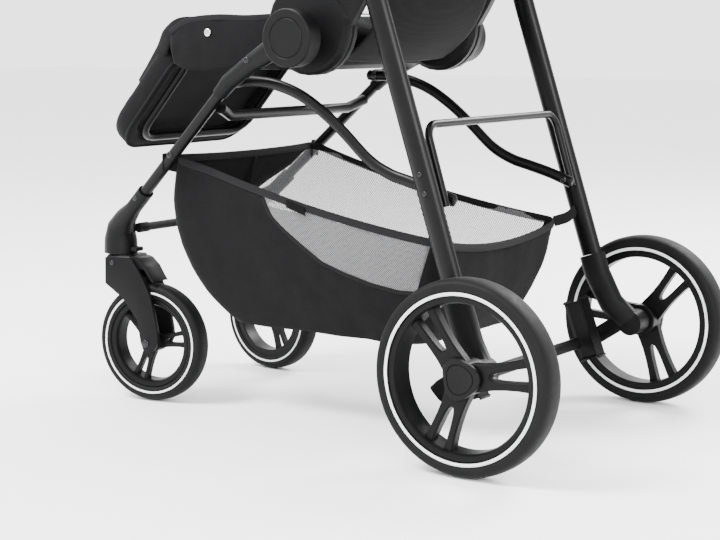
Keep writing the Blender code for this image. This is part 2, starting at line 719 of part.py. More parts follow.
def bow_body(name):
    """One canopy bow: a flat strip bent into an arch, with a round eye at each pivot."""
    angle = math.radians(BOW_ANGLES[name])
    centre = canopy_pivot()
    along = direction(angle)
    across = AXIS_X.cross(along)
    path = bow_path(BOW_X[name], CANOPY_REACH, CANOPY_CORNER, 0.0)
    points = [Vector((x, centre[0], centre[1])) + along * reach for x, reach in path]
    strip = sweep([(point, *BOW_HALF) for point in points], across, 4, 0.1)
    eyes = []
    for side in (1, -1):
        low = side * BOW_X[name] - BOW_HALF[1]
        eyes.append(cylinder((0.0, *centre), AXIS_X, 0.010, low, low + 2 * BOW_HALF[1], 12))
    return fused([strip] + eyes)


def canopy_pivot():
    """The canopy's pivot on the push tubes, as (y, z)."""
    point = on_plane(CANOPY_R, PUSH_ANGLE)
    return (point.y, point.z)


def canopy_panel_body(start, end, half_x):
    """The cloth between two bows, as a shell turned about the canopy's pivot."""
    centre = canopy_pivot()
    outer = bow_path(half_x, CANOPY_REACH + 0.001, CANOPY_CORNER, 0.055)
    inner = bow_path(half_x - CLOTH, CANOPY_REACH + 0.001 - CLOTH, CANOPY_CORNER - CLOTH, 0.055)
    steps = 5
    grids = ([], [])
    for step in range(steps + 1):
        share = step / steps
        spoke = direction(math.radians(start + (end - start) * share))
        hem = AXIS_X.cross(spoke) * (BOW_HALF[0] + GAP) * (1.0 - 2.0 * share)
        for grid, path in zip(grids, (outer, inner)):
            grid.append([Vector((x, *centre)) + spoke * reach + hem for x, reach in path])
    return shell(*grids)


def knuckle_body(side):
    """The plate on the push tube that the bows turn on."""
    centre = (0.0, *canopy_pivot())
    return cylinder(centre, (side, 0.0, 0.0), 0.020, 0.1765, BOW_X["rear"] - BOW_HALF[1] - GAP, 24)


def add_canopy(frame, materials):
    """Knuckles, bows and the two cloth panels."""
    pivot = (0.0, *canopy_pivot())
    for side, suffix in SIDES:
        knuckle = knuckle_body(side)
        add_piece(knuckle, "canopy_knuckle_" + suffix, materials["plastic"], frame, pivot)
    for name in BOW_ANGLES:
        add_piece(bow_body(name), "canopy_bow_" + name, materials["plastic"], frame, pivot)
    rear = canopy_panel_body(BOW_ANGLES["rear"], BOW_ANGLES["mid"], BOW_X["rear"])
    add_piece(rear, "canopy_panel_rear", materials["fabric"], frame, pivot)
    front = canopy_panel_body(BOW_ANGLES["mid"], BOW_ANGLES["front"], BOW_X["mid"])
    add_piece(front, "canopy_panel_front", materials["fabric"], frame, pivot)


# ---- seat, backrest, leg rest and basket ----


def cushion_body(centre, first, second, halves, thickness, power=0.45):
    """A crowned pad: rings that swell from the base to the sides and close over the top."""
    normal = first.cross(second)
    levels = ((0.0, 0.95), (0.15, 1.0), (0.65, 1.0), (0.90, 0.94), (1.0, 0.70))
    rings = []
    for height, share in levels:
        base = Vector(centre) + normal * thickness * height
        inset = (1.0 - share) * min(halves)
        rings.append(outline(base, first, second, halves[0] - inset, halves[1] - inset, 24, power))
    return loft(rings)


def rail_body(side):
    """The seat's side rail from the leg rest's pivot to an eye at the hub."""
    middle = (RAIL_X[0] + RAIL_X[1]) / 2
    half = (RAIL_X[1] - RAIL_X[0]) / 2
    run = ((*LEG_REST_PIVOT, 0.0090), (-0.470, 0.478, 0.0080), (-0.400, 0.494, 0.0095), (*HUB, 0.0140))
    stations = [(Vector((side * middle, y, z)), half, depth) for y, z, depth in run]
    axis = Vector((side, 0.0, 0.0))
    front_eye = cylinder((0.0, *LEG_REST_PIVOT), axis, 0.0135, *RAIL_X, segments=20)
    hub_eye = cylinder((0.0, *HUB), axis, 0.022, *RAIL_X, segments=20)
    return fused([sweep(stations, sides=8, power=0.6), front_eye, hub_eye])


def add_seat(frame, materials):
    """Seat pan, side rails, seat cushion and the harness buckle."""
    pan_rear_y = -0.300
    centre = (0.0, (PAN_FRONT_Y + pan_rear_y) / 2, sum(PAN_Z) / 2)
    halves = (SEAT_HALF_X, (pan_rear_y - PAN_FRONT_Y) / 2, (PAN_Z[1] - PAN_Z[0]) / 2)
    pan = block(centre, (AXIS_X, AXIS_Y, AXIS_Z), halves, 0.006)
    add_piece(pan, "seat_pan", materials["plastic"], frame)
    for side, suffix in SIDES:
        add_piece(rail_body(side), "seat_rail_" + suffix, materials["tube"], frame)
    cushion_rear_y = -0.226
    middle = Vector((0.0, (SEAT_FRONT_Y + cushion_rear_y) / 2, PAN_Z[1] + GAP))
    halves = (SEAT_HALF_X - 0.001, (cushion_rear_y - SEAT_FRONT_Y) / 2)
    cushion = cushion_body(middle, AXIS_X, AXIS_Y, halves, 0.045)
    add_piece(cushion, "seat_cushion", materials["fabric"], frame)
    buckle = block((0.0, -0.385, 0.5375), (AXIS_X, AXIS_Y, AXIS_Z), (0.021, 0.027, 0.0065), 0.003)
    add_piece(buckle, "harness_buckle", materials["plastic"], frame)


def add_backrest(frame, materials):
    """The backrest board and its cushion, which recline about the hub."""
    along = direction(BACK_ANGLE)
    normal = AXIS_X.cross(along)
    hub = Vector((0.0, *HUB))
    middle = hub + along * (BACK_R[0] + BACK_R[1]) / 2
    half_length = (BACK_R[1] - BACK_R[0]) / 2
    board = block(middle, (AXIS_X, along, normal), (BACK_HALF_X, half_length, 0.0055), 0.003)
    add_piece(board, "backrest_board", materials["plastic"], frame, hub)
    base = middle + normal * (0.0055 + GAP)
    cushion = cushion_body(base, AXIS_X, along, (BACK_HALF_X - 0.001, half_length - 0.002), 0.030)
    add_piece(cushion, "backrest_cushion", materials["fabric"], frame, hub)


def add_leg_rest(frame, materials):
    """The leg rest's hollow-backed pad and the U-shaped tube behind it."""
    along = direction(LEG_REST_ANGLE)
    normal = along.cross(AXIS_X)
    pivot = Vector((0.0, *LEG_REST_PIVOT))
    middle = pivot + along * sum(LEG_REST_SPAN) / 2
    half_length = (LEG_REST_SPAN[1] - LEG_REST_SPAN[0]) / 2
    levels = ((0.037, 0.012), (0.033, 0.003), (0.026, 0.0), (0.004, 0.0), (0.004, 0.014), (0.017, 0.018))
    rings = []
    for offset, inset in levels:
        size = (LEG_REST_HALF_X - inset, half_length - inset)
        rings.append(outline(middle + normal * offset, AXIS_X, along, *size, 24, 0.5))
    add_piece(loft(rings), "leg_rest_pad", materials["fabric"], frame, pivot)
    behind = normal * -0.0045
    half_x = 0.1180
    foot = pivot + AXIS_X * half_x
    knee = pivot + AXIS_X * half_x + along * 0.030 + behind
    corner = pivot + AXIS_X * half_x + along * 0.155 + behind
    bend = arc_corner(knee, corner, pivot + along * 0.155 + behind, 0.030)
    half_path = [foot, knee] + bend
    mirrored = [Vector((-point.x, point.y, point.z)) for point in reversed(half_path)]
    bodies = [tube(half_path + mirrored, (0.0055, 0.0055), normal)]
    for side in (1, -1):
        bodies.append(cylinder(pivot, (side, 0.0, 0.0), 0.0110, 0.1080, RAIL_X[0] - GAP, 20))
    add_piece(fused(bodies), "leg_rest_frame", materials["tube"], frame, pivot)


def basket_rim_z(y):
    """The height of the basket's side hem, which sags from its front corners to its rear ones."""
    share = (y - BASKET_FRONT_Y) / (BASKET_REAR_Y - BASKET_FRONT_Y)
    return 0.348 - 0.132 * share + 0.044 * share * share


def rounded_rectangle(centre, half_x, half_y, radius, corner_steps=4, side_steps=3):
    """Points round a level rectangle with round corners, with spare points along each side."""
    corners = []
    for quarter, (sign_x, sign_y) in enumerate(((1, -1), (1, 1), (-1, 1), (-1, -1))):
        middle = centre + Vector((sign_x * (half_x - radius), sign_y * (half_y - radius), 0.0))
        turn = math.pi / 2 * (quarter - 1)
        arc = []
        for step in range(corner_steps):
            angle = turn + math.pi / 2 * step / (corner_steps - 1)
            arc.append(middle + Vector((math.cos(angle), math.sin(angle), 0.0)) * radius)
        corners.append(arc)
    points = []
    for arc, after in zip(corners, corners[1:] + corners[:1]):
        points += arc
        points += [arc[-1].lerp(after[0], (step + 1) / (side_steps + 1)) for step in range(side_steps)]
    return points


def basket_ring(depth, inset, lift):
    """One level of the basket, from its hem (0) to its floor (1)."""
    front = BASKET_FRONT_Y - 0.130 * depth * (1.0 - depth) + 0.052 * depth ** 3
    rear = BASKET_REAR_Y - 0.014 * depth - 0.036 * depth ** 3
    half_x = BASKET_HALF_X - 0.012 * depth - 0.022 * depth ** 3
    half_y = (rear - front) / 2
    centre = Vector((0.0, (front + rear) / 2, 0.0))
    radius = BASKET_CORNER + 0.020 * depth - inset / 2
    ring = rounded_rectangle(centre, half_x - inset, half_y - inset, radius)
    for point in ring:
        sag = 0.016 * (1.0 - (point.x / BASKET_HALF_X) ** 2) * (1.0 if point.y > centre.y else 0.2)
        edge = (abs(point.y - centre.y) / half_y) ** 8
        rim = basket_rim_z(min(max(point.y, BASKET_FRONT_Y), BASKET_REAR_Y)) - sag * edge
        point.z = rim + (BASKET_FLOOR_Z - rim) * depth + lift
    return ring


def add_basket(frame, materials):
    """The open-topped basket under the seat."""
    depths = (0.0, 0.25, 0.55, 0.80, 0.94)
    outer = [basket_ring(depth, 0.0, 0.0) for depth in depths]
    inner = [basket_ring(depth, BASKET_WALL, BASKET_WALL * depth) for depth in depths]
    floor_out = basket_ring(1.0, 0.020, 0.0)
    floor_in = basket_ring(1.0, 0.020 + BASKET_WALL, BASKET_WALL)
    rings = [floor_out] + outer[::-1] + inner + [floor_in]
    add_piece(loft(rings), "basket", materials["fabric"], frame)


def build():
    """Models the stroller."""
    clear_scene()
    materials = make_materials()
    frame = add_empty("design_frame", (0.0, REAR_AXLE_Y, 0.0))
    add_front_frame(frame, materials)
    add_front_feet(frame, materials)
    add_casters(frame, materials)
    add_fold_links(frame, materials)
    add_rear_frame(frame, materials)
    add_rear_wheels(frame, materials)
    add_push_frame(frame, materials)
    add_canopy(frame, materials)
    add_seat(frame, materials)
    add_backrest(frame, materials)
    add_leg_rest(frame, materials)
    add_basket(frame, materials)


build()
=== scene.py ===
"""The stroller's looks: fine wheels, sewn basket, padded seat, canopy, materials, light and camera."""

import math

import bmesh
import bpy
from mathutils import Matrix, Vector, noise


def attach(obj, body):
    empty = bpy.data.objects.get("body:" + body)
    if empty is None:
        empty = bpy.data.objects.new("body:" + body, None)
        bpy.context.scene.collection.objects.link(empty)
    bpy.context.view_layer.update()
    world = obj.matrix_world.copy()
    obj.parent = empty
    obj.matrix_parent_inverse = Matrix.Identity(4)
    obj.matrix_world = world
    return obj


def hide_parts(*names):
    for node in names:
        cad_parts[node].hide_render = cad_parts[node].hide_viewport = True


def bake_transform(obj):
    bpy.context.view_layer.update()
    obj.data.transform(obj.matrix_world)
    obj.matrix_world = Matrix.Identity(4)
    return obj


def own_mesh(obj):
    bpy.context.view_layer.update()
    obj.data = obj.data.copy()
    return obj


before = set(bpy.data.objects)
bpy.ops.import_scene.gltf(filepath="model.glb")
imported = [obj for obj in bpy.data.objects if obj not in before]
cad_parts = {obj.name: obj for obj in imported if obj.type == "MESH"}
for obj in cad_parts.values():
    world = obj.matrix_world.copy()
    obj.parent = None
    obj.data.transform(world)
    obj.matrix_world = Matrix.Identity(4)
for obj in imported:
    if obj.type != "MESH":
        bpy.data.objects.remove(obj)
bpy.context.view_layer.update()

# ---- the CAD's own sizes, in metres; y runs from the rear axle, as in the CAD source ----
REAR_AXLE_Y = 0.1746
AXIS_X = Vector((1.0, 0.0, 0.0))
AXIS_Y = Vector((0.0, 1.0, 0.0))
AXIS_Z = Vector((0.0, 0.0, 1.0))
SIDES = ((1, "left"), (-1, "right"))

REAR_WHEEL_R = 0.1175
REAR_TRACK_X = 0.2452
REAR_HALF_WIDTH = 0.0192
FRONT_WHEEL_R = 0.0828
FRONT_HALF_WIDTH = 0.0153
TYRE_DEPTH = 0.0195
RIM_LIP = 0.0095
CASTER = (0.1442, -0.622, 0.053)
CASTER_TURN = {"left": math.radians(8.2), "right": math.radians(-5.3)}
SPOKE_COUNT = 3
SPOKE_START = math.radians(39.0)

HUB = (-0.282, 0.521)
DRUM = (-0.280, 0.506)
DRUM_R = 0.0365
PUSH_ANGLE = math.radians(41.0)
HANDLE_R = 0.757
CANOPY_R = 0.36
CANOPY_REACH = 0.30
LEG_REST_HALF_X = 0.139
CANOPY_CORNER = 0.085
BOW_ANGLES = {"rear": 50.0, "mid": 95.0, "front": 140.0}
BOW_X = {"rear": 0.1925, "mid": 0.1970, "front": 0.2015}
BACK_ANGLE = math.radians(40.0)
LEG_REST_PIVOT = (-0.512, 0.485)
LEG_REST_ANGLE = math.radians(229.0)

BASKET_FRONT_Y = -0.500
BASKET_REAR_Y = -0.092
BASKET_HALF_X = 0.1545
BASKET_FLOOR_Z = 0.118
BASKET_CORNER = 0.018
BASKET_COLUMNS = 240
BASKET_ROWS = 22

# The lower edge of the basket's side mesh, as (y, z).
MESH_EDGE = (
    (-0.363, 0.300), (-0.345, 0.274), (-0.319, 0.254), (-0.291, 0.236), (-0.259, 0.217),
    (-0.222, 0.205), (-0.179, 0.195), (-0.135, 0.189), (-0.113, 0.190),
)

# The lower edge of the other side's mesh, and the two edges of the front wall's mesh as (x, z).
FAR_MESH_EDGE = ((-0.500, 0.240), (-0.440, 0.226), (-0.360, 0.214), (-0.287, 0.204), (-0.200, 0.197), (-0.108, 0.205))
FRONT_MESH_TOP = ((-0.150, 0.350), (-0.115, 0.319), (-0.046, 0.287), (-0.015, 0.268))
FRONT_MESH_LOW = ((-0.150, 0.240), (-0.074, 0.258), (-0.015, 0.268))

# ---- camera: place, heading, tilt and roll ----
CAMERA_AT = (1.9126, 0.9742, 0.5206)
CAMERA_YAW = math.radians(33.97)
CAMERA_PITCH = math.radians(8.19)
CAMERA_ROLL = math.radians(0.18)
CAMERA_LENS = 84.65


# ---- small geometry tools ----


def at(x, y, z):
    """A point laid out from the rear axle, in the row frame."""
    return Vector((x, y + REAR_AXLE_Y, z))


def on_plane(radius, angle, x=0.0, centre=HUB):
    """A point at a radius and an angle from +Y towards +Z round a pivot."""
    return at(x, centre[0] + radius * math.cos(angle), centre[1] + radius * math.sin(angle))


def direction(angle):
    return Vector((0.0, math.cos(angle), math.sin(angle)))


def front_leg_point(side, z):
    rise = z - 0.4
    return at(side * (0.178 + 0.132 * rise), -0.447 + 1.060 * rise, z)


def rear_leg_point(side, z):
    return at(side * 0.186, 0.016 - 0.3304 * z, z)


def along_curve(points, value):
    """The second coordinate of a curve through points, at a value of the first."""
    for (a, low), (b, high) in zip(points, points[1:]):
        if value <= b:
            share = min(max((value - a) / (b - a), 0.0), 1.0)
            return low + (high - low) * share
    return points[-1][1]


def arc_corner(before, corner, after, radius, steps):
    """Points that round a path's corner between the legs to before and after."""
    to_before = (before - corner).normalized()
    to_after = (after - corner).normalized()
    half = to_before.angle(to_after) / 2
    middle = corner + (to_before + to_after).normalized() * (radius / math.sin(half))
    start = (corner + to_before * (radius / math.tan(half)) - middle).normalized()
    end = (corner + to_after * (radius / math.tan(half)) - middle).normalized()
    return [middle + start.slerp(end, step / steps).normalized() * radius for step in range(steps + 1)]


def smooth_path(points, count):
    """Evenly spread points on a Catmull-Rom curve through the given ones."""
    points = [Vector(point) for point in points]
    padded = [points[0] * 2 - points[1]] + points + [points[-1] * 2 - points[-2]]
    result = []
    spans = len(points) - 1
    for index in range(count):
        place = index / (count - 1) * spans
        span = min(int(place), spans - 1)
        t = place - span
        a, b, c, d = padded[span:span + 4]
        square = (2 * a - 5 * b + 4 * c - d) * t * t
        cube = (3 * b - a - 3 * c + d) * t ** 3
        result.append(0.5 * (2 * b + (c - a) * t + square + cube))
    return result


def new_object(name, mesh, material, angle=40.0):
    """A smooth-shaded object from a mesh."""
    mesh.materials.clear()
    mesh.materials.append(material)
    mesh.shade_smooth()
    mesh.set_sharp_from_angle(angle=math.radians(angle))
    obj = bpy.data.objects.new(name, mesh)
    bpy.context.scene.collection.objects.link(obj)
    return obj


def from_bmesh(bm, name, material, angle=40.0):
    bmesh.ops.recalc_face_normals(bm, faces=bm.faces)
    mesh = bpy.data.meshes.new(name)
    bm.to_mesh(mesh)
    bm.free()
    return new_object(name, mesh, material, angle)


def add_grid(bm, rows, closed=False):
    """Faces over rows of points, with the distance along and down as UV in metres."""
    uv = bm.loops.layers.uv.verify()
    grid = [[bm.verts.new(point) for point in row] for row in rows]
    columns = len(rows[0])
    along = [0.0]
    middle = rows[len(rows) // 2]
    for index in range(columns if closed else columns - 1):
        along.append(along[-1] + (middle[(index + 1) % columns] - middle[index]).length)
    for r in range(len(rows) - 1):
        for c in range(columns if closed else columns - 1):
            after = (c + 1) % columns
            corners = [grid[r][c], grid[r + 1][c], grid[r + 1][after], grid[r][after]]
            if (rows[r][c] - rows[r + 1][c]).length + (rows[r][after] - rows[r + 1][after]).length < 1e-6:
                continue
            face = bm.faces.new(corners)
            for loop, column, row in zip(face.loops, (c, c, c + 1, c + 1), (r, r + 1, r + 1, r)):
                point = rows[row][column % columns]
                loop[uv].uv = (along[column], point.z)
    return grid


def grid_object(rows, name, material, closed=False, caps=False):
    """An object over a grid of points."""
    bm = bmesh.new()
    grid = add_grid(bm, rows, closed)
    if caps:
        for ring in (grid[0], grid[-1]):
            bm.faces.new(ring)
    bmesh.ops.remove_doubles(bm, verts=bm.verts, dist=1e-6)
    return from_bmesh(bm, name, material)


def turned(profile, centre, axis, name, material, segments=96, closed=False, angle=40.0):
    """A body turned from (radius, offset) points about an axis."""
    axis = Vector(axis).normalized()
    first = AXIS_Z if abs(axis.z) < 0.5 else AXIS_Y
    second = axis.cross(first)
    rings = []
    for radius, offset in profile:
        base = Vector(centre) + axis * offset
        ring = []
        for index in range(segments):
            turn = 2 * math.pi * index / segments
            ring.append(base + (first * math.cos(turn) + second * math.sin(turn)) * max(radius, 1e-5))
        rings.append(ring)
    bm = bmesh.new()
    if closed:
        rings.append(rings[0])
    grid = add_grid(bm, rings, closed=True)
    if not closed:
        for ring in (grid[0], grid[-1]):
            bm.faces.new(ring)
    bmesh.ops.remove_doubles(bm, verts=bm.verts, dist=2e-5)
    return from_bmesh(bm, name, material, angle)


def ribbon(points, across, half_width, thickness, name, material, rounding=0.35):
    """A flat strap or binding that follows points, its width kept along one direction or a list of them."""
    rings = []
    last = len(points) - 1
    for index, point in enumerate(points):
        tangent = (points[min(index + 1, last)] - points[max(index - 1, 0)]).normalized()
        wide = across[index] if isinstance(across, list) else across
        normal = tangent.cross(wide).normalized()
        wide = normal.cross(tangent).normalized()
        ring = []
        for step in range(12):
            turn = 2 * math.pi * (step + 0.5) / 12
            u = math.copysign(abs(math.cos(turn)) ** rounding, math.cos(turn)) * half_width
            v = math.copysign(abs(math.sin(turn)) ** 0.8, math.sin(turn)) * thickness / 2
            ring.append(point + wide * u + normal * v)
        rings.append(ring)
    bm = bmesh.new()
    grid = add_grid(bm, rings, closed=True)
    for ring in (grid[0], grid[-1]):
        bm.faces.new(ring)
    return from_bmesh(bm, name, material, 60.0)


def tube(points, halves, across, name, material, sides=24, caps=True):
    """A round or oval bar through points."""
    rings = []
    last = len(points) - 1
    for index, point in enumerate(points):
        half = halves[index] if isinstance(halves, list) else halves
        tangent = (points[min(index + 1, last)] - points[max(index - 1, 0)]).normalized()
        depth = tangent.cross(across).normalized()
        wide = depth.cross(tangent).normalized()
        ring = []
        for step in range(sides):
            turn = 2 * math.pi * (step + 0.5) / sides
            ring.append(point + wide * math.cos(turn) * half[0] + depth * math.sin(turn) * half[1])
        rings.append(ring)
    return grid_object(rings, name, material, closed=True, caps=caps)


def ruffled(obj, height, size, seed):
    """Moves a mesh's points along their normals by soft noise, for the ease in sewn cloth."""
    offset = Vector((seed, seed * 0.7, seed * 1.3))
    for vert in obj.data.vertices:
        move = noise.noise(vert.co / size + offset) + 0.45 * noise.noise(vert.co / (size * 0.4) + offset)
        vert.co += vert.normal * move * height
    return obj


# ---- materials ----


class Shader:
    """A Principled material and short ways to add nodes to it."""

    def __init__(self, name, colour, roughness, metallic=0.0, **extra):
        self.material = bpy.data.materials.new(name)
        self.material.use_nodes = True
        self.tree = self.material.node_tree
        self.bsdf = self.tree.nodes["Principled BSDF"]
        self.set("Base Color", (*colour, 1.0))
        self.set("Roughness", roughness)
        self.set("Metallic", metallic)
        for key, value in extra.items():
            self.set(key.replace("_", " "), value)

    def set(self, socket, value):
        self.bsdf.inputs[socket].default_value = value

    def node(self, kind, **values):
        made = self.tree.nodes.new("ShaderNode" + kind)
        for key, value in values.items():
            setattr(made, key, value)
        return made

    def link(self, source, target):
        self.tree.links.new(source, target)

    def math(self, operation, first, second=None):
        made = self.node("Math", operation=operation)
        for socket, value in zip(made.inputs, (first, second)):
            if value is None:
                continue
            if isinstance(value, (int, float)):
                socket.default_value = value
            else:
                self.link(value, socket)
        return made.outputs[0]

    def axes(self, source="Object"):
        """Separate X, Y and Z outputs of a coordinate, in metres."""
        split = self.node("SeparateXYZ")
        self.link(self.node("TexCoord").outputs[source], split.inputs[0])
        return split.outputs

    def noise(self, scale, detail=3.0, roughness=0.55):
        made = self.node("TexNoise")
        made.inputs["Scale"].default_value = scale
        made.inputs["Detail"].default_value = detail
        made.inputs["Roughness"].default_value = roughness
        self.link(self.node("TexCoord").outputs["Object"], made.inputs["Vector"])
        return made.outputs["Fac"]

    def ranged(self, value, low, high):
        """A 0 to 1 value brought to another range."""
        made = self.node("MapRange")
        made.inputs["To Min"].default_value = low
        made.inputs["To Max"].default_value = high
        self.link(value, made.inputs["Value"])
        return made.outputs[0]

    def blend_colour(self, value, low, high):
        ramp = self.node("ValToRGB")
        ramp.color_ramp.elements[0].color = (*low, 1.0)
        ramp.color_ramp.elements[1].color = (*high, 1.0)
        self.link(value, ramp.inputs[0])
        self.link(ramp.outputs[0], self.bsdf.inputs["Base Color"])

    def bump(self, value, distance, strength=1.0):
        made = self.node("Bump")
        made.inputs["Strength"].default_value = strength
        made.inputs["Distance"].default_value = distance
        self.link(value, made.inputs["Height"])
        self.link(made.outputs[0], self.bsdf.inputs["Normal"])


def half_wave(shader, coordinate, pitch):
    """A sine along a coordinate, lifted to 0 to 1."""
    swing = shader.math("SINE", shader.math("MULTIPLY", coordinate, 2 * math.pi / pitch))
    return shader.math("ADD", shader.math("MULTIPLY", swing, 0.5), 0.5)


def painted_tube():
    """Satin black powder coat with a fine orange peel."""
    shader = Shader("satin_black_paint", (0.003, 0.003, 0.003), 0.26, 0.0, Specular_IOR_Level=0.13)
    shader.link(shader.ranged(shader.noise(60.0), 0.24, 0.38), shader.bsdf.inputs["Roughness"])
    shader.blend_colour(shader.noise(25.0), (0.0011, 0.0011, 0.0012), (0.0026, 0.0026, 0.0028))
    shader.bump(shader.noise(1400.0, 2.0), 0.00006)
    return shader.material


def moulded(name, colour, roughness, grain):
    """Moulded plastic with a fine spark-eroded grain."""
    shader = Shader(name, colour, roughness, 0.0, Specular_IOR_Level=0.09)
    darker = tuple(value * 0.8 for value in colour)
    lighter = tuple(value * 1.25 for value in colour)
    shader.blend_colour(shader.noise(18.0), darker, lighter)
    spread = shader.ranged(shader.noise(240.0), roughness - 0.06, roughness + 0.08)
    shader.link(spread, shader.bsdf.inputs["Roughness"])
    shader.bump(shader.noise(1500.0, 3.0, 0.7), grain)
    return shader.material


def tyre_rubber():
    """Foam rubber with a faint mottle."""
    shader = Shader("foam_rubber", (0.004, 0.004, 0.004), 0.50, 0.0, Specular_IOR_Level=0.11)
    shader.blend_colour(shader.noise(35.0, 5.0), (0.0016, 0.0016, 0.0017), (0.0040, 0.0040, 0.0043))
    shader.link(shader.ranged(shader.noise(90.0, 4.0), 0.5, 0.72), shader.bsdf.inputs["Roughness"])
    shader.bump(shader.noise(900.0, 4.0), 0.00012)
    return shader.material


def ring_stripe():
    """The reflective ring: off-white with a fine diagonal hatch that runs along it."""
    shader = Shader("reflective_ring", (0.62, 0.63, 0.63), 0.38, 0.0, Specular_IOR_Level=0.6)
    uv = shader.axes("UV")
    slant = shader.math("ADD", uv[0], uv[1])
    hatch = half_wave(shader, slant, 0.0011)
    shader.blend_colour(hatch, (0.42, 0.43, 0.44), (0.82, 0.83, 0.82))
    shader.bump(hatch, 0.00008)
    return shader.material


def woven(name, dark, light, pitch, sheen=0.03):
    """Woven polyester: two thread directions from UVs in metres, with slubs and sheen."""
    shader = Shader(name, dark, 0.88, 0.0, Specular_IOR_Level=0.06, Sheen_Weight=sheen, Sheen_Roughness=0.45)
    uv = shader.axes("UV")
    warp = half_wave(shader, uv[0], pitch)
    weft = half_wave(shader, uv[1], pitch)
    threads = shader.math("MULTIPLY", warp, weft)
    cloudy = shader.math("ADD", threads, shader.math("MULTIPLY", shader.noise(45.0, 4.0), 0.5))
    shader.blend_colour(cloudy, dark, light)
    height = shader.math("ADD", shader.math("MAXIMUM", warp, weft), shader.math("MULTIPLY", shader.noise(700.0), 0.6))
    shader.bump(height, 0.00022)
    return shader.material


def padded_cloth(name, dark, light, pitch):
    """The same cloth on a remeshed pad, with threads set from its place in space."""
    shader = Shader(name, dark, 0.9, 0.0, Specular_IOR_Level=0.06, Sheen_Weight=0.03, Sheen_Roughness=0.5)
    place = shader.axes("Object")
    warp = half_wave(shader, place[0], pitch)
    weft = half_wave(shader, shader.math("ADD", place[1], place[2]), pitch)
    cloudy = shader.math("ADD", shader.math("MULTIPLY", warp, weft), shader.math("MULTIPLY", shader.noise(30.0, 4.0), 0.6))
    shader.blend_colour(cloudy, dark, light)
    shader.bump(shader.math("ADD", shader.math("MAXIMUM", warp, weft), shader.noise(600.0)), 0.0002)
    return shader.material


def knit_mesh():
    """Light grey warp-knit netting with open holes."""
    shader = Shader("knit_mesh", (0.13, 0.13, 0.135), 0.8, 0.0, Specular_IOR_Level=0.3)
    uv = shader.axes("UV")
    pitch = 0.0030
    columns = half_wave(shader, shader.math("ADD", uv[0], uv[1]), pitch)
    rows = half_wave(shader, shader.math("SUBTRACT", uv[0], uv[1]), pitch)
    hole = shader.math("MULTIPLY", columns, rows)
    shader.link(shader.math("LESS_THAN", hole, 0.30), shader.bsdf.inputs["Alpha"])
    shader.blend_colour(shader.noise(500.0), (0.07, 0.07, 0.073), (0.20, 0.20, 0.205))
    shader.bump(shader.math("SUBTRACT", 1.0, hole), 0.0003)
    return shader.material


def webbing(name, dark, light):
    """Ribbed webbing for bindings and straps."""
    shader = Shader(name, dark, 0.85, 0.0, Specular_IOR_Level=0.1, Sheen_Weight=0.03, Sheen_Roughness=0.5)
    uv = shader.axes("UV")
    rib = half_wave(shader, uv[0], 0.0013)
    cross = half_wave(shader, uv[1], 0.0019)
    shader.blend_colour(shader.math("MULTIPLY", rib, cross), dark, light)
    shader.bump(shader.math("ADD", rib, shader.math("MULTIPLY", cross, 0.5)), 0.0002)
    return shader.material


def polished(name, colour, roughness):
    """Dark nickel on rivets and snaps, lightly scratched."""
    shader = Shader(name, colour, roughness, 1.0)
    shader.link(shader.ranged(shader.noise(300.0, 5.0), roughness * 0.7, roughness * 1.5), shader.bsdf.inputs["Roughness"])
    shader.blend_colour(shader.noise(120.0), tuple(v * 0.85 for v in colour), colour)
    shader.bump(shader.noise(800.0), 0.00003)
    return shader.material


def grip_cover():
    """Soft grip cover with a pebbled grain; its colour carries painted shade, darker in the grooves between the
    pebbles.
    """
    shader = Shader("grip_cover", (0.006, 0.006, 0.005), 0.6, 0.0, Specular_IOR_Level=0.18)
    cells = shader.node("TexVoronoi", feature="DISTANCE_TO_EDGE")
    cells.inputs["Scale"].default_value = 520.0
    shader.link(shader.node("TexCoord").outputs["Object"], cells.inputs["Vector"])
    # painted shade: the colour darkens towards the grooves between the pebbles, following the grain's bump
    shader.blend_colour(cells.outputs["Distance"], (0.0040, 0.0038, 0.0036), (0.0100, 0.0094, 0.0088))
    shader.bump(cells.outputs["Distance"], 0.0003)
    return shader.material


def floor_material():
    """A pale studio floor with the faintest unevenness."""
    shader = Shader("pale_floor", (0.90, 0.90, 0.90), 0.6, 0.0)
    shader.blend_colour(shader.noise(3.0), (0.89, 0.89, 0.89), (0.92, 0.92, 0.92))
    return shader.material


MAT = {
    "tube": painted_tube(),
    "plastic": moulded("grained_plastic", (0.0027, 0.0027, 0.0030), 0.42, 0.00010),
    "rim": moulded("rim_plastic", (0.0024, 0.0024, 0.0026), 0.36, 0.00006),
    "cap": moulded("cap_plastic", (0.0034, 0.0034, 0.0036), 0.40, 0.00008),
    "tyre": tyre_rubber(),
    "ring": ring_stripe(),
    "cloth": woven("black_cloth", (0.0016, 0.0016, 0.0018), (0.0060, 0.0060, 0.0065), 0.0016),
    "pad": padded_cloth("black_pad_cloth", (0.0018, 0.0018, 0.0020), (0.0068, 0.0068, 0.0073), 0.0016),
    "lining": woven("black_lining", (0.0012, 0.0012, 0.0013), (0.0040, 0.0040, 0.0042), 0.0012, 0.01),
    "mesh": knit_mesh(),
    "binding": webbing("binding", (0.0030, 0.0030, 0.0033), (0.0120, 0.0120, 0.0130)),
    "strap": webbing("strap", (0.0022, 0.0022, 0.0024), (0.0075, 0.0075, 0.0080)),
    "rivet": polished("dark_nickel", (0.030, 0.030, 0.032), 0.22),
    "snap": polished("bright_nickel", (0.62, 0.60, 0.56), 0.18),
    "grip": grip_cover(),
}


def on_body(obj, body, slot, *nodes):
    """Rides a piece on a body and hides the CAD nodes that it stands for; the slot argument is not used."""
    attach(obj, body)
    if nodes:
        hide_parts(*nodes)
    return obj


# ---- kept CAD nodes ----


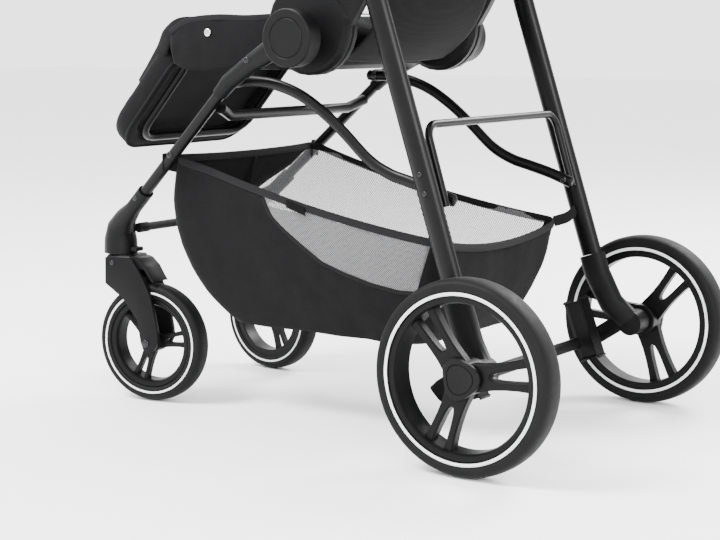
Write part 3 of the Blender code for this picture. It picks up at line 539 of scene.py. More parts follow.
def polish_node(name, material, bevel=0.0, angle=35.0):
    """Gives a CAD node its material, welded smooth shading and, where asked, softened edges."""
    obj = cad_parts[name]
    obj.data.materials.clear()
    obj.data.materials.append(material)
    if "custom_normal" in obj.data.attributes:
        obj.data.attributes.remove(obj.data.attributes["custom_normal"])
    obj.data.shade_smooth()
    weld = obj.modifiers.new("weld", "WELD")
    weld.merge_threshold = 0.00001
    if bevel:
        soften = obj.modifiers.new("soften", "BEVEL")
        soften.width = bevel
        soften.segments = 2
        soften.limit_method = "ANGLE"
        soften.angle_limit = math.radians(angle)
        soften.harden_normals = False
    split = obj.modifiers.new("split", "EDGE_SPLIT")
    split.split_angle = math.radians(angle)


def both(name):
    return [name + "_left", name + "_right"]


def finish_cad_nodes():
    """Materials and edges of the CAD nodes that stay."""
    for name in both("front_leg") + both("rear_leg") + both("push_tube") + both("seat_rail"):
        polish_node(name, MAT["tube"])
    polish_node("front_cross_tube", MAT["tube"])
    polish_node("leg_rest_frame", MAT["rim"])
    for name in both("fork") + both("caster_lock") + ["brake_bar"] + both("rear_pivot"):
        polish_node(name, MAT["plastic"], 0.0006)
    for name in both("front_foot") + both("hub_arm") + both("rear_foot") + both("canopy_knuckle"):
        polish_node(name, MAT["plastic"], 0.0, 40.0)
    for name in ("fold_housing", "fold_trigger", "harness_buckle", "seat_pan", "backrest_board"):
        polish_node(name, MAT["plastic"], 0.0008)
    for name in BOW_ANGLES:
        polish_node("canopy_bow_" + name, MAT["plastic"], 0.0, 40.0)


# ---- wheels ----


def tyre_profile(radius, half_width):
    """(radius, offset) points of a round-shouldered tyre with a shallow ring step on its wall."""
    points = []
    for step in range(13):
        turn = math.pi / 2 * (1.0 - step / 12)
        wide = half_width * 0.97 * math.cos(turn) ** 0.75
        points.append((radius - TYRE_DEPTH * 0.42 * (1.0 - math.sin(turn) ** 0.8), wide))
    wall = half_width * 0.97
    points += [(radius * 0.885, wall), (radius * 0.878, wall - 0.0006), (radius * 0.868, wall - 0.0006)]
    points += [(radius * 0.862, wall), (radius - TYRE_DEPTH + 0.001, wall), (radius - TYRE_DEPTH, wall - 0.001)]
    mirrored = [(r, -offset) for r, offset in reversed(points)]
    return points + mirrored[:-1]


def add_tyre(radius, half_width, centre, axis, name, body):
    tyre = turned(tyre_profile(radius, half_width), centre, axis, name + "_fine", MAT["tyre"], 128, True, 50.0)
    on_body(tyre, body, "tyre", name)


def add_ring(radius, half_width, centre, axis, name, body, faces):
    """The white ring on a tyre's wall, a thin raised band."""
    wall = half_width * 0.97
    outer, inner = radius * 0.8690, radius * 0.8350
    for face in faces:
        profile = [(outer, wall * face), (outer - 0.0003, (wall + 0.0004) * face)]
        profile += [(inner + 0.0003, (wall + 0.0004) * face), (inner, wall * face)]
        label = name + ("_out" if face > 0 else "_in")
        ring = turned(profile, centre, axis, label, MAT["ring"], 128, True, 60.0)
        on_body(ring, body, "tyre")


def spoke_outline():
    """One spoke's outline as (share of its reach, share of the rim's radius), with its teardrop slot."""
    outer = [(-0.05, 0.190), (0.08, 0.190), (0.20, 0.180), (0.35, 0.174), (0.55, 0.180), (0.78, 0.200)]
    outer += [(0.93, 0.222), (1.03, 0.245)]
    inner = [(1.03, 0.098), (0.90, 0.092), (0.74, 0.082), (0.58, 0.070), (0.46, 0.056), (0.375, 0.038), (0.335, 0.018)]
    half = outer + inner + [(0.325, 0.0)]
    return half + [(along, -width) for along, width in reversed(half[:-1])]


def add_rim(radius, half_width, hub_r, centre, axis, name, body):
    """A deep rim, a hub and three slotted spokes, joined in one object."""
    centre, axis = Vector(centre), Vector(axis).normalized()
    outer = radius - TYRE_DEPTH - 0.0003
    wall = outer - RIM_LIP
    lip = half_width * 0.86
    ring = [(outer, -lip), (outer, lip - 0.001), (outer - 0.001, lip), (wall + 0.0045, lip), (wall + 0.0022, lip - 0.0008)]
    ring += [(wall + 0.0008, lip - 0.0030), (wall, lip - 0.006), (wall, -lip + 0.001), (wall + 0.001, -lip)]
    rim = turned(ring, centre, axis, name + "_fine", MAT["rim"], 128, True, 30.0)
    hub = [(0.0, lip - 0.0052), (hub_r - 0.001, lip - 0.0052), (hub_r, lip - 0.0062), (hub_r, -lip + 0.001)]
    hub += [(hub_r - 0.001, -lip), (0.0, -lip)]
    parts = [turned(hub, centre, axis, name + "_hub", MAT["rim"], 64)]
    first = AXIS_Z
    second = axis.cross(first)
    reach = wall - hub_r * 0.6
    for spoke in range(SPOKE_COUNT):
        angle = 2 * math.pi * spoke / SPOKE_COUNT + SPOKE_START
        outward = first * math.cos(angle) + second * math.sin(angle)
        sideways = outward.cross(axis)
        bm = bmesh.new()
        loops = []
        for offset in (-0.002, lip - 0.0062):
            base = centre + axis * offset + outward * hub_r * 0.6
            ring_points = [base + outward * reach * a + sideways * wall * b for a, b in spoke_outline()]
            loops.append([bm.verts.new(point) for point in ring_points])
        count = len(loops[0])
        for index in range(count):
            after = (index + 1) % count
            bm.faces.new((loops[0][index], loops[0][after], loops[1][after], loops[1][index]))
        bm.faces.new(loops[0])
        top = bm.faces.new(loops[1])
        bmesh.ops.recalc_face_normals(bm, faces=bm.faces)
        bmesh.ops.bevel(bm, geom=list(top.edges), offset=0.0016, segments=3, affect="EDGES", clamp_overlap=True)
        parts.append(from_bmesh(bm, name + "_spoke" + str(spoke), MAT["rim"], 50.0))
    joined(rim, parts)
    on_body(rim, body, "rim", name)


def joined(first, others):
    """Joins meshes into the first object, keeping each shape as it is."""
    bm = bmesh.new()
    bm.from_mesh(first.data)
    for other in others:
        bm.from_mesh(other.data)
        bpy.data.objects.remove(other, do_unlink=True)
    bm.to_mesh(first.data)
    bm.free()
    return first


def add_lobed_cap(centre, axis, radius, low, high, name, body):
    """The rear hub's cap: three soft lobes, a groove round its middle and a shallow dish."""
    centre, axis = Vector(centre), Vector(axis).normalized()
    second = axis.cross(AXIS_Z)
    rings = []
    levels = ((1.0, low), (1.0, high - 0.0012), (0.965, high), (0.74, high + 0.0002), (0.72, high - 0.0008),
              (0.70, high - 0.0008), (0.68, high + 0.0001), (0.35, high - 0.0004), (0.0005, high - 0.0006))
    for share, offset in levels:
        ring = []
        for index in range(96):
            turn = 2 * math.pi * index / 96
            lobe = 1.0 + 0.11 * math.cos(SPOKE_COUNT * (turn - SPOKE_START)) * share ** 2
            reach = share * radius * lobe
            ring.append(centre + axis * offset + (AXIS_Z * math.cos(turn) + second * math.sin(turn)) * reach)
        rings.append(ring)
    cap = grid_object(rings, name + "_fine", MAT["cap"], closed=True, caps=True)
    on_body(cap, body, "plastic", name)


def add_disc(centre, axis, radius, height, name, body, material, slot="plastic"):
    """A small domed rivet, bolt or snap head."""
    profile = [(radius, 0.0), (radius, height * 0.35), (radius * 0.93, height * 0.62), (radius * 0.75, height * 0.86)]
    profile += [(radius * 0.45, height), (radius * 0.30, height), (radius * 0.22, height * 0.80), (0.0, height * 0.78)]
    disc = turned(profile, centre, axis, name, material, 32)
    on_body(disc, body, slot)
    return disc


def front_wheel_frame(side, suffix):
    """Centre and axis of a front wheel behind its turned swivel."""
    turn = CASTER_TURN[suffix]
    x, y, trail = CASTER
    centre = at(side * x - math.sin(turn) * trail, y + math.cos(turn) * trail, FRONT_WHEEL_R)
    return centre, Vector((math.cos(turn), math.sin(turn), 0.0)) * side


def add_wheels():
    """Tyres, rims, rings and caps of all four wheels."""
    for side, suffix in SIDES:
        centre, axis = at(side * REAR_TRACK_X, 0.0, REAR_WHEEL_R), Vector((side, 0.0, 0.0))
        body = "rear_wheel_" + suffix
        add_tyre(REAR_WHEEL_R, REAR_HALF_WIDTH, centre, axis, "rear_tyre_" + suffix, body)
        add_ring(REAR_WHEEL_R, REAR_HALF_WIDTH, centre, axis, "rear_ring_" + suffix, body, (1, -1))
        add_rim(REAR_WHEEL_R, REAR_HALF_WIDTH, 0.0215, centre, axis, "rear_rim_" + suffix, body)
        lip = REAR_HALF_WIDTH * 0.86
        add_lobed_cap(centre, axis, 0.0245, lip - 0.0055, lip + 0.0003, "rear_hub_cap_" + suffix, body)
        centre, axis = front_wheel_frame(side, suffix)
        body = "front_wheel_" + suffix
        add_tyre(FRONT_WHEEL_R, FRONT_HALF_WIDTH, centre, axis, "front_tyre_" + suffix, body)
        add_ring(FRONT_WHEEL_R, FRONT_HALF_WIDTH, centre, axis, "front_ring_" + suffix, body, (1, -1))
        add_rim(FRONT_WHEEL_R, FRONT_HALF_WIDTH, 0.0145, centre, axis, "front_rim_" + suffix, body)
        for face in (1, -1):
            label = "axle_bolt_" + suffix + ("_out" if face > 0 else "_in")
            add_disc(centre + axis * 0.0232 * face, axis * face, 0.0058, 0.0022, label, "caster_" + suffix, MAT["rivet"])


# ---- hubs and rivets ----


def add_hubs():
    """Seat hub housings with their rim lines and drum caps."""
    for side, suffix in SIDES:
        axis = Vector((side, 0.0, 0.0))
        polish_node("seat_hub_" + suffix, MAT["plastic"], 0.0, 40.0)
        centre = at(0.0, *DRUM)
        profile = [(DRUM_R, 0.2122), (DRUM_R, 0.2153), (0.0360, 0.2166), (0.0350, 0.2173), (0.0338, 0.2175)]
        profile += [(0.0262, 0.2175), (0.0255, 0.2170), (0.0250, 0.2163), (0.0244, 0.2163), (0.0239, 0.2170)]
        profile += [(0.0232, 0.2175), (0.0, 0.2175)]
        face = turned(profile, centre, axis, "hub_cap_" + suffix + "_fine", MAT["cap"], 96, False, 25.0)
        on_body(face, "front_frame", "plastic", "hub_cap_" + suffix)


LINK_RUN = (
    (-0.4065, 0.4512), (-0.397, 0.4500), (-0.378, 0.4500), (-0.344, 0.4465), (-0.305, 0.4345), (-0.269, 0.4140),
    (-0.236, 0.3890), (-0.197, 0.3555), (-0.166, 0.3395), (-0.137, 0.3315), (-0.106, 0.3230), (-0.079, 0.3135),
    (-0.0705, 0.3104),
)


def add_fold_links():
    """The S-shaped links, smoothly bent, with rounded ends and a pin head at each end."""
    for side, suffix in SIDES:
        points = smooth_path([at(side * 0.155, y, z) for y, z in LINK_RUN], 72)
        ends = {0: 0.62, 1: 0.86, 70: 0.86, 71: 0.62}
        halves = [(0.0048 * ends.get(i, 1.0), 0.0075 * ends.get(i, 1.0)) for i in range(72)]
        link = tube(points, halves, AXIS_X, "fold_link_fine_" + suffix, MAT["tube"], 20)
        on_body(link, "fold_links", "tube", "fold_link_" + suffix)
        for label, spot in (("front", (-0.392, 0.4500)), ("rear", (-0.0820, 0.3144))):
            axis = Vector((-side, 0.0, 0.0))
            place = at(side * 0.1503, *spot)
            add_disc(place, axis, 0.0042, 0.0018, f"link_pin_{label}_{suffix}", "fold_links", MAT["rivet"])


def add_rear_cross():
    """The arch between the rear legs, with smoothly rounded corners."""
    foot_end, corner = Vector((0.1665, -0.079, 0.313)), Vector((0.1665, -0.107, 0.403))
    slope = (corner - foot_end).normalized()
    foot = foot_end - slope * 0.008
    half = [foot] + arc_corner(foot, corner, Vector((0.0, corner.y, corner.z)), 0.020, 14)
    path = half + [Vector((-p.x, p.y, p.z)) for p in reversed(half)]
    across = AXIS_X.cross(slope).normalized()
    arch = tube([at(*p) for p in path], (0.0050, 0.0050), across, "rear_cross_fine", MAT["tube"], 20)
    on_body(arch, "rear_frame", "tube", "rear_cross_tube")


def add_lower_bar():
    """The bar between the front feet, in its rubber sleeve with a collar at each end."""
    centre = at(0.0, -0.602, 0.2400)
    reach = CASTER[0] - 0.0135
    half = [(0.0058, 0.0), (0.0058, reach - 0.022), (0.0070, reach - 0.020), (0.0070, reach - 0.001), (0.0062, reach)]
    profile = [(r, -offset) for r, offset in reversed(half)] + half[1:]
    bar = turned([(0.0, -reach)] + profile + [(0.0, reach)], centre, AXIS_X, "lower_bar_sleeve", MAT["tyre"], 32)
    on_body(bar, "front_frame", "tube", "lower_front_bar")


def add_rivets():
    """Rivet and bolt heads on the legs, arms, feet and forks."""
    for side, suffix in SIDES:
        out = Vector((side, 0.0, 0.0))
        for number, z in enumerate((0.345, 0.322)):
            point = rear_leg_point(side, z) + out * 0.0083
            add_disc(point, out, 0.0034, 0.0016, f"rear_leg_rivet{number}_{suffix}", "rear_frame", MAT["rivet"])
        spots = (("arm_rivet_upper_", (0.2035, -0.352, 0.478)), ("arm_rivet_lower_", (0.1865, -0.398, 0.450)))
        for label, (x, y, z) in spots:
            add_disc(at(side * (x - 0.0005), y, z), out, 0.0040, 0.0018, label + suffix, "front_frame", MAT["rivet"])
        socket = front_leg_point(side, 0.2865) + out * 0.0117
        add_disc(socket, out, 0.0032, 0.0014, "socket_rivet_" + suffix, "front_frame", MAT["rivet"])
        foot = rear_leg_point(side, 0.196) + out * 0.0117
        add_disc(foot, out, 0.0034, 0.0015, "rear_foot_rivet_" + suffix, "rear_frame", MAT["rivet"])
        turn = CASTER_TURN[suffix]
        for face, label in ((1, "out"), (-1, "in")):
            cheek_axis = Vector((math.cos(turn), math.sin(turn), 0.0)) * face
            swivel = at(side * CASTER[0], CASTER[1], 0.193)
            add_disc(swivel + cheek_axis * 0.0232, cheek_axis, 0.0034, 0.0016, f"fork_rivet_{label}_{suffix}",
                     "caster_" + suffix, MAT["rivet"])


# ---- basket ----


def basket_rim_z(y):
    share = (y - BASKET_FRONT_Y) / (BASKET_REAR_Y - BASKET_FRONT_Y)
    return 0.348 - 0.132 * share + 0.044 * share * share


def basket_outline(half_x, half_y, radius, count):
    """Points evenly round a level rectangle with round corners, starting at the left rear corner."""
    corners = []
    for quarter, (sign_x, sign_y) in enumerate(((1, 1), (-1, 1), (-1, -1), (1, -1))):
        start = math.pi / 2 * quarter
        for step in range(13):
            turn = start + math.pi / 2 * step / 12
            corners.append((sign_x * (half_x - radius) + radius * math.cos(turn),
                            sign_y * (half_y - radius) + radius * math.sin(turn)))
    corners.append(corners[0])
    lengths = [0.0]
    for a, b in zip(corners, corners[1:]):
        lengths.append(lengths[-1] + math.dist(a, b))
    points, span = [], 0
    for index in range(count):
        target = lengths[-1] * index / count
        while lengths[span + 1] < target:
            span += 1
        share = (target - lengths[span]) / max(lengths[span + 1] - lengths[span], 1e-9)
        a, b = corners[span], corners[span + 1]
        points.append((a[0] + (b[0] - a[0]) * share, a[1] + (b[1] - a[1]) * share))
    return points


def basket_level(depth):
    """The basket's outline at a depth from its hem (0) to its floor (1), as plan points, centre y and half y."""
    front = BASKET_FRONT_Y - 0.130 * depth * (1.0 - depth) + 0.052 * depth ** 3
    rear = BASKET_REAR_Y - 0.014 * depth - 0.036 * depth ** 3
    half_x = BASKET_HALF_X - 0.012 * depth - 0.022 * depth ** 3
    half_y = (rear - front) / 2
    return basket_outline(half_x, half_y, BASKET_CORNER + 0.020 * depth, BASKET_COLUMNS), (front + rear) / 2, half_y


def basket_point(plan, middle_y, half_y, depth):
    """A point of the basket's wall in the row frame."""
    x, y = plan
    sag = 0.016 * (1.0 - (x / BASKET_HALF_X) ** 2) * (1.0 if y > 0 else 0.2)
    rim = basket_rim_z(min(max(y + middle_y, BASKET_FRONT_Y), BASKET_REAR_Y)) - sag * (abs(y) / half_y) ** 8
    corner = math.hypot(abs(x) - BASKET_HALF_X, y + middle_y - BASKET_FRONT_Y) / 0.032
    pull = math.exp(-corner * corner) * (1.0 - depth) ** 2
    plan_x = x + math.copysign(0.0090 * pull, x)
    return at(plan_x, y + middle_y - 0.0075 * pull, rim + (BASKET_FLOOR_Z - rim) * depth)


def mesh_span(x, y, z):
    """The depths between which a wall's column is netting: a pair, equal where the wall is all cloth."""
    room = z - BASKET_FLOOR_Z
    if y > -0.108:
        return 0.0, 0.0
    if x > BASKET_HALF_X - 0.006:
        return (0.0, (z - along_curve(MESH_EDGE, y)) / room) if y > MESH_EDGE[0][0] else (0.0, 0.0)
    if y > BASKET_FRONT_Y + 0.016:
        return (0.0, (z - along_curve(FAR_MESH_EDGE, y)) / room) if x < 0 else (0.0, 0.0)
    if x < FRONT_MESH_TOP[-1][0]:
        top = max((z - along_curve(FRONT_MESH_TOP, x)) / room, 0.0)
        return top, max(top, (z - along_curve(FRONT_MESH_LOW, x)) / room)
    return 0.0, 0.0


def add_basket():
    """The sewn basket: cloth walls and floor, netting, bindings, tag and corner straps."""
    plan, middle_y, half_y = basket_level(0.0)
    hem = [basket_point(p, middle_y, half_y, 0.0) for p in plan]
    spans = [mesh_span(p[0], p[1] + middle_y, point.z) for p, point in zip(plan, hem)]
    levels = [basket_level(index / 60) for index in range(61)]

    def wall(column, depth):
        low = min(int(depth * 60), 59)
        share = depth * 60 - low
        ends = []
        for index in (low, low + 1):
            p, my, hy = levels[index]
            ends.append(basket_point(p[column], my, hy, index / 60))
        return ends[0].lerp(ends[1], share)

    def rows_between(first, last, count):
        return [
            [wall(c, spans_a + (spans_b - spans_a) * r / count) for c, (spans_a, spans_b) in enumerate(zip(first, last))]
            for r in range(count + 1)
        ]

    tops = [low for low, _ in spans]
    bottoms = [high for _, high in spans]
    zeros, floor_edge = [0.0] * BASKET_COLUMNS, [0.985] * BASKET_COLUMNS
    bm = bmesh.new()
    add_grid(bm, rows_between(zeros, tops, 4), closed=True)
    lower = rows_between(bottoms, floor_edge, BASKET_ROWS)
    last = lower[-1]
    centre = sum(last, Vector()) / len(last)
    for share in (0.93, 0.75, 0.5, 0.25, 0.02):
        lower.append([centre.lerp(point, share) + Vector((0, 0, -0.0012)) for point in last])
    add_grid(bm, lower, closed=True)
    bmesh.ops.remove_doubles(bm, verts=bm.verts, dist=1e-5)
    cloth = from_bmesh(bm, "basket_cloth", MAT["cloth"], 70.0)
    net_bm = bmesh.new()
    add_grid(net_bm, rows_between(tops, bottoms, 14), closed=True)
    bmesh.ops.remove_doubles(net_bm, verts=net_bm.verts, dist=1e-5)
    loose = [vert for vert in net_bm.verts if not vert.link_faces]
    bmesh.ops.delete(net_bm, geom=loose, context="VERTS")
    net = from_bmesh(net_bm, "basket_netting", MAT["mesh"], 70.0)
    ruffled(cloth, 0.0016, 0.055, 3.0)
    ruffled(net, 0.0012, 0.045, 3.0)
    cloth_area = sum(face.area for face in cloth.data.polygons)
    net_area = sum(face.area for face in net.data.polygons)
    thick = cloth.modifiers.new("thickness", "SOLIDIFY")
    thick.thickness = 0.0011
    thick.offset = 0.0
    outward = [Vector((p.x, p.y - REAR_AXLE_Y + 0.296, 0.0)).normalized() for p in hem]
    band = [point + Vector((0, 0, -0.0035)) + out * 0.0007 for point, out in zip(hem, outward)]
    binding = closed_band(band, outward, 0.0052, 0.0030, "basket_binding", MAT["binding"])
    pieces = [cloth, net, binding]
    pieces += panel_bindings(wall, spans)
    pieces.append(basket_tag(hem, outward))
    pieces += basket_straps()
    return pieces, cloth_area, net_area


def closed_band(points, outward, half_height, thickness, name, material):
    """A folded binding round a closed edge, its width kept upright."""
    rings = []
    for step in range(10):
        turn = 2 * math.pi * (step + 0.5) / 10
        up = math.copysign(abs(math.sin(turn)) ** 0.6, math.sin(turn)) * half_height
        out = math.cos(turn) * thickness / 2
        rings.append([point + normal * out + AXIS_Z * up for point, normal in zip(points, outward)])
    rings.append(rings[0])
    return grid_object(rings, name, material, closed=True)


def panel_bindings(wall, spans):
    """The stitched seam tapes along the netting's lower edges."""
    made = []
    for label, wanted in (("left", lambda p: p.x > 0), ("right", lambda p: p.x < 0)):
        columns = [c for c, (a, b) in enumerate(spans) if b - a > 0.02 and abs(wall(c, 0).x) > BASKET_HALF_X - 0.006
                   and wanted(wall(c, 0))]
        columns.sort(key=lambda c: wall(c, 0).y)
        points = [wall(c, spans[c][1]) + AXIS_X * (0.0009 if label == "left" else -0.0009) for c in columns]
        if len(points) > 3:
            made.append(ribbon(points, AXIS_Z, 0.0026, 0.0012, "mesh_seam_" + label, MAT["strap"]))
    return made


def basket_tag(hem, outward):
    """A blank folded label that hangs from the left hem."""
    anchor = min(hem, key=lambda p: (p - at(BASKET_HALF_X, -0.308, 0.3)).length)
    rows = []
    for r in range(9):
        drop = 0.0015 + 0.0105 * r / 8
        curl = 0.0030 + 0.0010 * math.sin(r / 8 * math.pi)
        row = []
        for c in range(13):
            along = (c / 12 - 0.5) * 0.030
            slope = -0.30 * along
            row.append(anchor + Vector((curl, along, slope - drop)))
        rows.append(row)
    tag = grid_object(rows, "basket_tag", MAT["lining"])
    thick = tag.modifiers.new("thickness", "SOLIDIFY")
    thick.thickness = 0.0009
    return tag


def basket_straps():
    """Webbing from the basket's corners to the legs, with studs."""
    made = []
    for side, suffix in SIDES:
        start = at(side * 0.1520, BASKET_FRONT_Y - 0.004, 0.3350)
        end = front_leg_point(side, 0.339) + Vector((side * 0.0100, -0.001, 0.0))
        path = smooth_path([start, start.lerp(end, 0.5) + Vector((0, -0.006, 0.002)), end], 12)
        made.append(ribbon(path, AXIS_Z, 0.0120, 0.0016, "front_corner_strap_" + suffix, MAT["cloth"]))
        start = at(side * 0.1480, BASKET_REAR_Y - 0.002, 0.2570)
        end = rear_leg_point(side, 0.272) + Vector((side * -0.0092, -0.002, 0.0))
        path = smooth_path([start, start.lerp(end, 0.5) + Vector((0, 0.004, -0.002)), end], 12)
        made.append(ribbon(path, AXIS_Z, 0.0075, 0.0016, "rear_corner_strap_" + suffix, MAT["strap"]))
        stud = front_leg_point(side, 0.350) + Vector((side * 0.0095, 0.0, 0.0))
        add_disc(stud, (side, 0.0, 0.0), 0.0045, 0.0020, "basket_stud_" + suffix, "front_frame", MAT["rivet"])
    return made


def place_basket():
    """Rides the basket on the front frame in place of the CAD basket, each piece with its own mesh."""
    pieces, cloth_area, net_area = add_basket()
    for piece in pieces:
        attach(piece, "front_frame")
    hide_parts("basket")
    for piece in pieces:
        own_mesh(piece)


# ---- padded pieces ----


def superellipse(centre, first, second, half_first, half_second, count, power):
    points = []
    for index in range(count):
        turn = 2 * math.pi * index / count
        u = math.copysign(abs(math.cos(turn)) ** power, math.cos(turn)) * half_first
        v = math.copysign(abs(math.sin(turn)) ** power, math.sin(turn)) * half_second
        points.append(centre + first * u + second * v)
    return points


def pad_shape(centre, first, second, halves, thickness, name, power=0.35):
    """A crowned closed pad, a little inside its CAD solid so that it can swell."""
    normal = first.cross(second)
    rings = []
    for height, inset in ((0.0, 0.012), (0.12, 0.004), (0.40, 0.002), (0.70, 0.004), (0.90, 0.016), (1.0, 0.045)):
        base = centre + normal * thickness * height
        rings.append(superellipse(base, first, second, halves[0] - inset, halves[1] - inset, 96, power))
    return grid_object(rings, name, MAT["pad"], closed=True, caps=True)


def inflated(obj, voxel, pressure, cap):
    """Swells a pad with Cloth under pressure, caps how far each point moves, and keeps the mesh."""
    remesh = obj.modifiers.new("remesh", "REMESH")
    remesh.mode = "VOXEL"
    remesh.voxel_size = voxel
    apply_modifiers(obj)
    before = [vert.co.copy() for vert in obj.data.vertices]
    cloth = obj.modifiers.new("cloth", "CLOTH")
    cloth.settings.use_pressure = True
    cloth.settings.uniform_pressure_force = pressure
    cloth.settings.effector_weights.gravity = 0.0
    cloth.settings.quality = 4
    scene = bpy.context.scene
    for number in range(1, 17):
        scene.frame_set(number)
    apply_modifiers(obj)
    scene.frame_set(1)
    for vert, rest in zip(obj.data.vertices, before):
        move = vert.co - rest
        if move.length > cap:
            vert.co = rest + move.normalized() * cap
    smooth = obj.modifiers.new("smooth", "SUBSURF")
    smooth.levels = 1
    smooth.render_levels = 1
    apply_modifiers(obj)
    obj.data.shade_smooth()
    return obj


def apply_modifiers(obj):
    """Turns an object's evaluated mesh into its own."""
    graph = bpy.context.evaluated_depsgraph_get()
    bpy.context.view_layer.update()
    mesh = bpy.data.meshes.new_from_object(obj.evaluated_get(graph), preserve_all_data_layers=True, depsgraph=graph)
    old = obj.data
    obj.modifiers.clear()
    obj.data = mesh
    bpy.data.meshes.remove(old)


def channelled(obj, centre, first, second, normal, lines, depth, width):
    """Presses sewn channels into a pad's top: lines are (axis number, place) in the pad's own axes."""
    axes = (first, second)
    for vert in obj.data.vertices:
        offset = vert.co - centre
        if offset.dot(normal) < 0.004:
            continue
        for axis, place in lines:
            away = abs(offset.dot(axes[axis]) - place)
            vert.co -= normal * depth * math.exp(-(away / width) ** 2)
    return obj


def keep_above(obj, centre, normal, floor):
    """Holds a pad's underside at the face that it lies on."""
    for vert in obj.data.vertices:
        under = floor - (vert.co - centre).dot(normal)
        if under > 0:
            vert.co += normal * under
    return obj


def add_seat_pad():
    """The seat cushion with its sewn channels."""
    centre = at(0.0, -0.369, 0.4857)
    pad = pad_shape(centre, AXIS_X, AXIS_Y, (0.122, 0.138), 0.040, "seat_pad")
    inflated(pad, 0.0055, 3.0, 0.008)
    keep_above(pad, centre, AXIS_Z, 0.0002)
    channelled(pad, centre, AXIS_X, AXIS_Y, AXIS_Z, ((1, -0.070), (1, 0.0), (1, 0.070)), 0.0045, 0.005)
    on_body(pad, "front_frame", "cloth", "seat_cushion")


def add_back_pad():
    """The backrest cushion with a head section and channels."""
    along = direction(BACK_ANGLE)
    normal = AXIS_X.cross(along)
    hub = at(0.0, *HUB)
    middle = hub + along * 0.3085 + normal * 0.0062
    pad = pad_shape(middle, AXIS_X, along, (0.122, 0.229), 0.026, "back_pad")
    inflated(pad, 0.006, 3.0, 0.007)
    keep_above(pad, middle, normal, 0.0002)
    lines = tuple((1, place) for place in (-0.150, -0.075, 0.0, 0.085)) + ((0, -0.062), (0, 0.062))
    channelled(pad, middle, AXIS_X, along, normal, lines, 0.0035, 0.005)
    on_body(pad, "backrest", "cloth", "backrest_cushion")


def leg_outline(offset, inset):
    """The leg rest's outline at a height over its back, with tight top corners and wide bottom ones."""
    along = direction(LEG_REST_ANGLE)
    normal = along.cross(AXIS_X)
    base = at(0.0, *LEG_REST_PIVOT) + normal * offset
    low, high, half = 0.016 + inset, 0.183 - inset, LEG_REST_HALF_X - inset
    points = []
    for sign_x, reach, sign_r, radius in ((1, low, -1, 0.016), (1, high, 1, 0.044), (-1, high, 1, 0.044), (-1, low, -1, 0.016)):
        radius = max(radius - inset * 0.6, 0.004)
        middle = Vector((sign_x * (half - radius), reach - sign_r * radius, 0.0))
        start = math.atan2(sign_r, 0.0) if sign_x * sign_r < 0 else math.atan2(0.0, sign_x)
        for step in range(13):
            turn = start + math.pi / 2 * step / 12
            points.append(middle + Vector((math.cos(turn), math.sin(turn), 0.0)) * radius)
    spread = []
    for a, b in zip(points, points[1:] + points[:1]):
        pieces = max(int((b - a).length / 0.008), 1)
        spread += [a.lerp(b, step / pieces) for step in range(pieces)]
    return [base + AXIS_X * p.x + along * p.y for p in spread]


def resampled(points, count):
    """A closed line of points spread evenly."""
    closed = points + points[:1]
    lengths = [0.0]
    for a, b in zip(closed, closed[1:]):
        lengths.append(lengths[-1] + (b - a).length)
    result, span = [], 0
    for index in range(count):
        target = lengths[-1] * index / count
        while lengths[span + 1] < target:
            span += 1
        share = (target - lengths[span]) / max(lengths[span + 1] - lengths[span], 1e-9)
        result.append(closed[span].lerp(closed[span + 1], share))
    return result


def add_back_cloth():
    """The backrest's side wings and the cover over the back of its board."""
    along = direction(BACK_ANGLE)
    normal = AXIS_X.cross(along)
    hub = at(0.0, *HUB)
    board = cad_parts["backrest_board"]
    behind = min((vert.co - hub).dot(normal) for vert in board.data.vertices)
    for side, suffix in SIDES:
        rows = []
        for r in range(13):
            share = r / 12
            row = []
            for c in range(49):
                place = c / 48
                depth = 0.028 + 0.050 * (1.0 - place) ** 0.8 * min(place / 0.10 + 0.45, 1.0)
                reach = 0.080 + 0.440 * place
                flare = 0.1315 + 0.0035 * math.sin(math.pi * share / 2) + 0.0020 * math.sin(math.pi * place)
                row.append(hub + AXIS_X * side * flare + along * reach + normal * (0.001 + depth * share))
            rows.append(row)
        wing = grid_object(rows, "back_wing_" + suffix, MAT["cloth"])
        ruffled(wing, 0.0012, 0.040, 17.0 + side)
        edge = [point + AXIS_X * side * 0.0004 for point in rows[-1]]
        thick = wing.modifiers.new("thickness", "SOLIDIFY")
        thick.thickness = 0.0030
        on_body(wing, "backrest", "cloth")
        on_body(ribbon(edge, normal, 0.0042, 0.0042, "back_wing_hem_" + suffix, MAT["binding"]), "backrest", "cloth")
    rows = []
    for r in range(41):
        reach = 0.076 + 0.466 * r / 40
        row = []
        for c in range(31):
            place = c / 30 * 2 - 1
            seam = 0.0030 * (math.exp(-((reach - 0.30) / 0.006) ** 2) + math.exp(-((abs(place) - 0.55) / 0.03) ** 2))
            belly = 0.0065 * (1.0 - place ** 4) * math.sin(math.pi * r / 40) ** 0.5
            row.append(hub + AXIS_X * 0.1285 * place + along * reach + normal * (behind - 0.0012 - max(belly - seam, 0.0)))
        rows.append(row)
    cover = grid_object(rows, "back_cover", MAT["cloth"])
    ruffled(cover, 0.0005, 0.050, 23.0)
    thick = cover.modifiers.new("thickness", "SOLIDIFY")
    thick.thickness = 0.0012
    on_body(cover, "backrest", "cloth")


